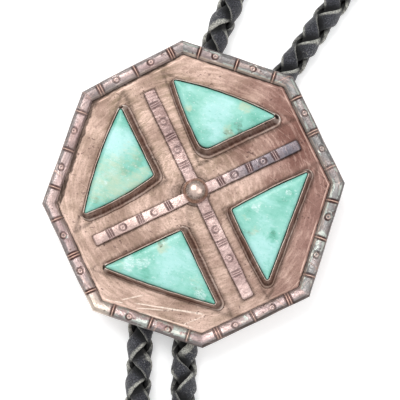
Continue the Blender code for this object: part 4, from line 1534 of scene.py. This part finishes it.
@dataclass
class Cord:
    """The braided cord, its route and its two silver tips."""

    diameter: float = 0.0058
    channel_x: float = 0.0038
    channel_z: float = 0.0042
    lying_z: float = 0.00295
    mouth_y: float = 0.011
    settle: float = 0.013
    pitch: float = 0.0166
    middle_radius: float = 0.00192
    weave: float = 0.00048
    lace_width: float = 0.0037
    lace_thickness: float = 0.00098
    tip_length: float = 0.0380
    tip_collar: tuple[float, float] = (0.0036, 0.0040)
    tip_neck: float = 0.0031
    tip_end: float = 0.0019
    tip_clear: float = 0.0001
    gap: float = 0.0003
    tail_left: tuple[tuple[float, float], ...] = (
        (4.3, -50.9), (2.7, -46.2), (0.6, -39.0), (-1.7, -31.2), (-3.0, -24.0), (-3.6, -16.6),
    )
    loop: tuple[tuple[float, float], ...] = (
        (-4.1, 16.8), (-5.4, 24.4), (-6.8, 32.4), (-6.7, 38.6), (-6.3, 44.8), (-7.6, 57.0), (-13.0, 78.0),
        (-20.2, 104.0), (-25.0, 133.0), (-26.2, 160.0), (-24.8, 184.4), (-16.6, 202.8), (1.2, 210.2),
        (19.4, 202.4), (27.0, 184.6), (27.4, 160.0), (26.0, 132.0), (23.2, 102.0), (20.3, 76.0),
        (18.0, 61.0), (16.1, 52.4), (13.1, 42.2), (10.1, 32.2), (7.4, 24.0), (4.9, 16.4),
    )
    tail_right: tuple[tuple[float, float], ...] = (
        (4.3, -16.4), (5.8, -23.4), (8.4, -31.2), (10.2, -37.0), (12.0, -42.6), (13.7, -47.6),
    )

    def taper(self) -> float:
        """The angle by which a tip narrows and so leans down.

        Returns:
            The angle in radians.
        """
        run = self.tip_length - self.tip_collar[1] - self.tip_end
        return math.asin((self.tip_collar[0] - self.tip_end) / run)

    def start_z(self) -> float:
        """How high a tip's mouth is when it lies on the surface."""
        radius, length = self.tip_collar
        return radius * math.cos(self.taper()) + length * math.sin(self.taper()) + self.tip_clear

    def height(self, y: float) -> float:
        """The cord's height over the surface.

        Args:
            y: Where along the slide.

        Returns:
            The height of its middle.
        """
        away = min(1.0, max(0.0, (abs(y) - self.mouth_y) / self.settle))
        return self.channel_z + (self.lying_z - self.channel_z) * away * away * (3 - 2 * away)

    def route(self) -> list[Vector]:
        """The cord's middle, the same as in the solids.

        Returns:
            Close points from the left tail's end to the right tail's.
        """

        def lying(rows: tuple) -> list[Vector]:
            """Route points at their height."""
            return [Vector((x * MM, y * MM, self.height(y * MM))) for x, y in rows]

        def channel(x: float, ends: tuple) -> list[Vector]:
            """Points in one of the keeper's channels."""
            return [Vector((x, y, self.channel_z)) for y in ends]

        up = (-self.mouth_y, -self.mouth_y / 2, self.mouth_y / 2, self.mouth_y)
        points = lying(self.tail_left) + channel(-self.channel_x, up) + lying(self.loop)
        points += channel(self.channel_x, up[::-1]) + lying(self.tail_right)
        for end, before in ((points[0], points[1]), (points[-1], points[-2])):
            run = math.hypot(end.x - before.x, end.y - before.y)
            end.z = self.start_z()
            before.z = self.start_z() + run * math.tan(self.taper())
        ends = [2 * points[0] - points[1], *points, 2 * points[-1] - points[-2]]
        line = []
        for p0, p1, p2, p3 in zip(ends, ends[1:], ends[2:], ends[3:], strict=False):
            for k in range(16):
                t = k / 16
                line.append(0.5 * (
                    2 * p1 + (p2 - p0) * t + (2 * p0 - 5 * p1 + 4 * p2 - p3) * t**2
                    + (3 * p1 - p0 - 3 * p2 + p3) * t**3
                ))
        return [*line, points[-1]]

    @staticmethod
    def length(route: list[Vector]) -> float:
        """The length of a route."""
        return sum((b - a).length for a, b in zip(route, route[1:], strict=False))

    def _lace_tree(self) -> bpy.types.NodeTree:
        """One flat lace wound round a curve, dipping under the laces that cross it.

        Returns:
            A geometry group with the curve and the lace's sizes as inputs.
        """
        sizes = ("Pitch", "Radius", "Weave", "Width", "Thickness", "Phase", "Way", "Over")
        inputs = {"Curve": "Geometry", **dict.fromkeys(sizes, 0.0), "Steps": "Int", "Sides": "Int"}
        graph, given, out = new_tree("GeometryNodeTree", "one_lace", inputs, {"Mesh": "Geometry"})
        shape = graph.made("GeometryNodeMeshGrid", {
            "Size X": 1.0, "Size Y": 1.0, "Vertices X": given["Steps"], "Vertices Y": given["Sides"],
        })
        x, y, _ = graph.split(graph.made("GeometryNodeInputPosition"))
        share = graph.math("ADD", x, 0.5, clamp=True)
        turn = (y + 0.5) * (2 * math.pi)
        gone = share * graph.made("GeometryNodeCurveLength", {"Curve": given["Curve"]})
        curve = graph.outputs(graph.add(
            "GeometryNodeSampleCurve", {"Curves": given["Curve"], "Factor": share}, mode="FACTOR",
            use_all_curves=True,
        ))
        place, tangent, normal = (curve[key] for key in ("Position", "Tangent", "Normal"))
        side = graph.vector("CROSS_PRODUCT", tangent, normal)
        wound = gone / given["Pitch"] * (2 * math.pi)
        angle = wound * given["Way"] + given["Phase"]
        dip = graph.math("COSINE", wound * 2.0 + given["Over"])
        radius = given["Radius"] + dip * given["Weave"]

        def flattened(wave: str, power: float) -> Value:
            """A sine or cosine pushed towards its ends, which squares the lace's section."""
            value = graph.math(wave, turn)
            return graph.math("POWER", abs(value), power) * graph.math("SIGN", value)

        def ray(value: Value, quarter: float) -> Value:
            """The direction from the cord's line at that angle, or a quarter turn on."""
            turned = value + quarter
            first = normal.scaled(graph.math("COSINE", turned))
            return first + side.scaled(graph.math("SINE", turned))

        across, through = flattened("COSINE", 0.75), flattened("SINE", 0.55)
        aside = across * (given["Width"] * 0.5)
        lift = through * (given["Thickness"] * 0.5)
        # The lace leans to the cord's line by the angle whose tangent is 2 pi radius / pitch
        lean = graph.math("ARCTANGENT", given["Radius"] * (2 * math.pi) / given["Pitch"])
        round_share = graph.math("COSINE", lean) * aside
        along_share = graph.math("SINE", lean) * given["Way"] * aside
        bent = angle + round_share * 0.72 / graph.math("MAXIMUM", radius, 0.0012)
        point = place + ray(bent, 0.0).scaled(radius + lift)
        sideways = ray(angle, math.pi / 2).scaled(round_share * 0.28)
        point = point + (sideways + tangent.scaled(along_share * -1.0))
        for name, value in (("along", gone), ("across", across), ("over", dip)):
            shape = graph.store(shape, name, value)
        shape = graph.made("GeometryNodeSetPosition", {"Geometry": shape, "Position": point})
        shape = graph.made("GeometryNodeMergeByDistance", {"Geometry": shape, "Distance": 0.000004})
        graph.feed(out, {"Mesh": shape})
        return graph.tree

    def _braid_tree(self, material: bpy.types.Material) -> bpy.types.NodeTree:
        """Four laces, two wound each way, round a thin core.

        Args:
            material: The leather.

        Returns:
            The tree.
        """
        sizes = ("Pitch", "Radius", "Weave", "Width", "Thickness")
        numbers = dict.fromkeys((*sizes, "Roll"), 0.0)
        inputs = {"Geometry": "Geometry", **numbers, "Steps": "Int", "Sides": "Int"}
        graph, given, out = new_tree(
            "GeometryNodeTree", "four_lace_braid", inputs, {"Geometry": "Geometry"}
        )
        curve = graph.made("GeometryNodeSetCurveNormal", {"Curve": given["Geometry"]}, mode="Z_UP")
        lace = self._lace_tree()
        shared = {"Curve": curve, **{key: given[key] for key in (*sizes, "Steps", "Sides")}}
        joined = graph.add("GeometryNodeJoinGeometry")
        for way, half, over in (
            (1.0, 0.0, 0.0), (1.0, math.pi, 0.0), (-1.0, 0.0, math.pi), (-1.0, math.pi, math.pi)
        ):
            own = {"Phase": given["Roll"] + half, "Way": way, "Over": over}
            strand = graph.made("GeometryNodeGroup", {**shared, **own}, node_tree=lace)
            graph.feed(joined.inputs, {0: strand})
        core = graph.made("GeometryNodeCurvePrimitiveCircle", {"Resolution": 8, "Radius": 0.0009})
        swept = {"Curve": curve, "Profile Curve": core, "Fill Caps": True}
        # The core is marked so that it is painted as dark as the shade between the laces
        core = graph.store(graph.made("GeometryNodeCurveToMesh", swept), "over", -1.0)
        graph.feed(joined.inputs, {0: core})
        smooth = graph.made("GeometryNodeSetShadeSmooth", {"Geometry": Value(graph, joined.outputs[0])})
        graph.feed(out, {"Geometry": graph.dressed(smooth, material)})
        return graph.tree

    def braid(self, route: list[Vector], material: bpy.types.Material) -> bpy.types.Object:
        """Makes the four-lace braid along the whole route.

        Args:
            route: The cord's middle.
            material: The leather.

        Returns:
            The braid, as a plain mesh.
        """
        data = bpy.data.curves.new("braid_route", "CURVE")
        data.dimensions = "3D"
        spline = data.splines.new("POLY")
        spline.points.add(len(route) - 1)
        for point, place in zip(spline.points, route, strict=True):
            point.co = (*place, 1.0)
        guide = placed("braid_route", data)
        mesh = tree_mesh(guide, self._braid_tree(material), {
            "Pitch": self.pitch, "Radius": self.middle_radius, "Weave": self.weave, "Width": self.lace_width,
            "Thickness": self.lace_thickness, "Roll": math.radians(45), "Sides": 17,
            "Steps": round(self.length(route) / self.pitch * (28)),
        })
        bpy.data.objects.remove(guide)
        face_outwards(mesh)
        return placed("cord_braid", mesh)

    def tip(self, name: str, end: Vector, before: Vector) -> bpy.types.Object:
        """A turned silver tip with a beaded collar, lying on the surface.

        Args:
            name: The piece's name.
            end: The cord's end.
            before: A point on its route just before the end.

        Returns:
            The tip.
        """
        collar, reach = self.tip_collar
        low, last = collar - 0.0003, self.tip_length - self.tip_end
        profile = [
            (0.0026, 0.0006), (0.0027, -0.0001), (low, -0.0001), (collar, 0.0002), (collar, 0.0009),
            (low, 0.0011), (low, 0.0014), (collar, 0.0016), (collar, reach - 0.0016), (low, reach - 0.0014),
            (low, reach - 0.0011), (collar, reach - 0.0009), (collar, reach - 0.0002), (low, reach),
            (self.tip_neck, reach),
        ]
        for share in np.linspace(0, 1, 14)[1:]:
            narrowed = self.tip_neck + (self.tip_end - self.tip_neck) * share
            profile.append((narrowed, reach + (last - reach) * share))
        for k in range(1, 9):
            a = math.pi / 2 * k / 8.4
            profile.append((self.tip_end * math.cos(a), last + self.tip_end * math.sin(a)))
        flat = Vector((end.x - before.x, end.y - before.y, 0.0)).normalized()
        way = (flat * math.cos(self.taper()) - Vector((0, 0, 1)) * math.sin(self.taper())).normalized()
        place = Matrix.Translation(end + way * self.gap) @ way.to_track_quat("Z", "Y").to_matrix().to_4x4()
        rows = np.array([[place @ Vector(point) for point in row] for row in lathed(profile, 48)])
        # Darker at the mouth and in the collar's grooves: dirt and painted shade
        dirt_and_shade = [0.9, 0.3] + [0.0] * 3 + [0.8, 0.8] + [0.0] * 2 + [0.8, 0.8] + [0.0] * (len(profile) - 11)
        painted = {"grime": np.tile(np.array(dirt_and_shade)[:, None], 48)}
        made = grid_object(name, rows, wrap_columns=True, caps=True, painted=painted)
        made.data.set_sharp_from_angle(angle=math.radians(40))
        return made

    def build(self, groups: EffectGroups) -> None:
        """Args:
            groups: The shared shader groups.
        """
        route = self.route()
        silver = PlainSilver("tip_silver").build(groups)
        for side, end, before in (("left", route[0], route[1]), ("right", route[-1], route[-2])):
            tip = self.tip(f"cord_tip_{side}", end, before)
            dress(tip, silver, "tip_silver", f"tip_{side}")
        braid = dress(self.braid(route, BraidLeather().build(groups)), None, "leather", "braided_cord")
        tuple(route[0])
        [tuple(p) for p in route]


@dataclass
class Keeper:
    """The hidden strap that holds the cord to the slide's back."""

    edge: float = 0.0002

    def build(self, groups: EffectGroups) -> None:
        """Makes a copy of the solid with softened edges.

        Args:
            groups: The shared shader groups.
        """
        made = placed("keeper_strap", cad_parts["cord_keeper"].data.copy())
        builder = bmesh.new()
        builder.from_mesh(made.data)
        bmesh.ops.remove_doubles(builder, verts=builder.verts, dist=0.000002)
        bmesh.ops.dissolve_limit(
            builder, angle_limit=math.radians(1), verts=builder.verts, edges=builder.edges
        )
        bmesh.ops.recalc_face_normals(builder, faces=builder.faces)
        builder.to_mesh(made.data)
        builder.free()
        bevel = made.modifiers.new("edge", "BEVEL")
        bevel.width, bevel.segments, bevel.limit_method = self.edge, 3, "ANGLE"
        bevel.harden_normals = True
        made.data.shade_smooth()
        made.data = final_mesh(made)
        dress(made, PlainSilver("keeper_silver").build(groups), "keeper_silver", "cord_keeper")


@dataclass
class Studio:
    """A pale floor, soft lights, and the camera at the photograph's angle."""

    turn: float = 18.7
    tilt: float = 8.0
    distance: float = 0.400
    view_width: float = 0.08664
    aim: tuple[float, float, float] = (0.00171, -0.00106, 0.0099)
    horizon: float = 0.35
    zenith: float = 0.95
    floor_glow: float = 0.33

    def _axes(self) -> tuple[Vector, Vector, Vector]:
        """The camera's right, up and backward directions.

        Returns:
            The three directions.
        """
        turn, tilt = math.radians(self.turn), math.radians(self.tilt)
        right = Vector((math.cos(turn), math.sin(turn), 0.0))
        level = Vector((-math.sin(turn), math.cos(turn), 0.0))
        back = Vector((0, 0, 1)) * math.cos(tilt) - level * math.sin(tilt)
        return right, back.cross(right), back

    def camera(self) -> None:
        """Adds the camera."""
        right, up, back = self._axes()
        data = bpy.data.cameras.new("camera")
        data.sensor_width = 36.0
        data.lens = 36.0 * self.distance / self.view_width
        data.clip_start, data.clip_end = 0.01, 20.0
        made = placed("camera", data)
        turned = Matrix((right, up, back)).transposed().to_4x4()
        made.matrix_world = Matrix.Translation(Vector(self.aim) + back * self.distance) @ turned
        bpy.context.scene.camera = made

    def lamp(self, name: str, place: tuple[float, float, float], size: float, power: float) -> None:
        """Adds a soft light that points at the slide.

        Args:
            name: The light's name.
            place: How far right, up and high it is, as the camera sees the slide.
            size: The side of its square.
            power: Its power in watts.
        """
        right, _, _ = self._axes()
        level = Vector((-right.y, right.x, 0.0))
        data = bpy.data.lights.new(name, "AREA")
        data.size, data.energy = size, power
        made = placed(name, data)
        spot = right * place[0] + level * place[1] + Vector((0, 0, place[2]))
        turned = (spot - Vector((0, 0, 0.01))).to_track_quat("Z", "Y").to_matrix().to_4x4()
        made.matrix_world = Matrix.Translation(spot) @ turned

    def floor(self) -> None:
        """Adds the pale surface that the tie lies on."""
        mesh = bpy.data.meshes.new("floor")
        mesh.from_pydata([(-3, -3, 0), (3, -3, 0), (3, 3, 0), (-3, 3, 0)], [], [(0, 1, 2, 3)])
        look, graph, shader = new_material("floor_paper")
        graph.feed(shader.inputs, {
            "Base Color": (0.93, 0.93, 0.925, 1.0), "Roughness": 0.9, "Emission Color": (1.0, 1.0, 1.0, 1.0),
            "Emission Strength": self.floor_glow,
        })
        mesh.materials.append(look)
        placed("floor", mesh)

    def build(self) -> None:
        """Sets the whole studio up."""
        scene = bpy.context.scene
        scene.view_settings.view_transform = "Standard"
        world = bpy.data.worlds.new("studio")
        scene.world = world
        world.use_nodes = True
        graph = Graph(world.node_tree)
        height = graph.split(graph.made("ShaderNodeTexCoord", output="Generated"))[2]
        lift = graph.rise(height, 0.1, 0.95, self.horizon, self.zenith)
        sky = graph.made("ShaderNodeBackground", {"Color": (0.97, 0.985, 1.0, 1.0), "Strength": lift})
        graph.add("ShaderNodeOutputWorld", {"Surface": sky})
        self.camera()
        self.lamp("key", (-0.19, 0.30, 0.72), 0.40, 3.2)
        self.lamp("fill", (0.45, -0.1, 0.6), 0.5, 0.9)
        self.floor()


def main() -> None:
    """Builds the tie and its studio, piece by piece."""
    logging.basicConfig(level=logging.INFO, format="%(name)s: %(message)s")
    Studio().build()
    groups = EffectGroups()
    Slide().build(groups)
    Keeper().build(groups)
    Cord().build(groups)


if __name__ == "__main__":
    main()
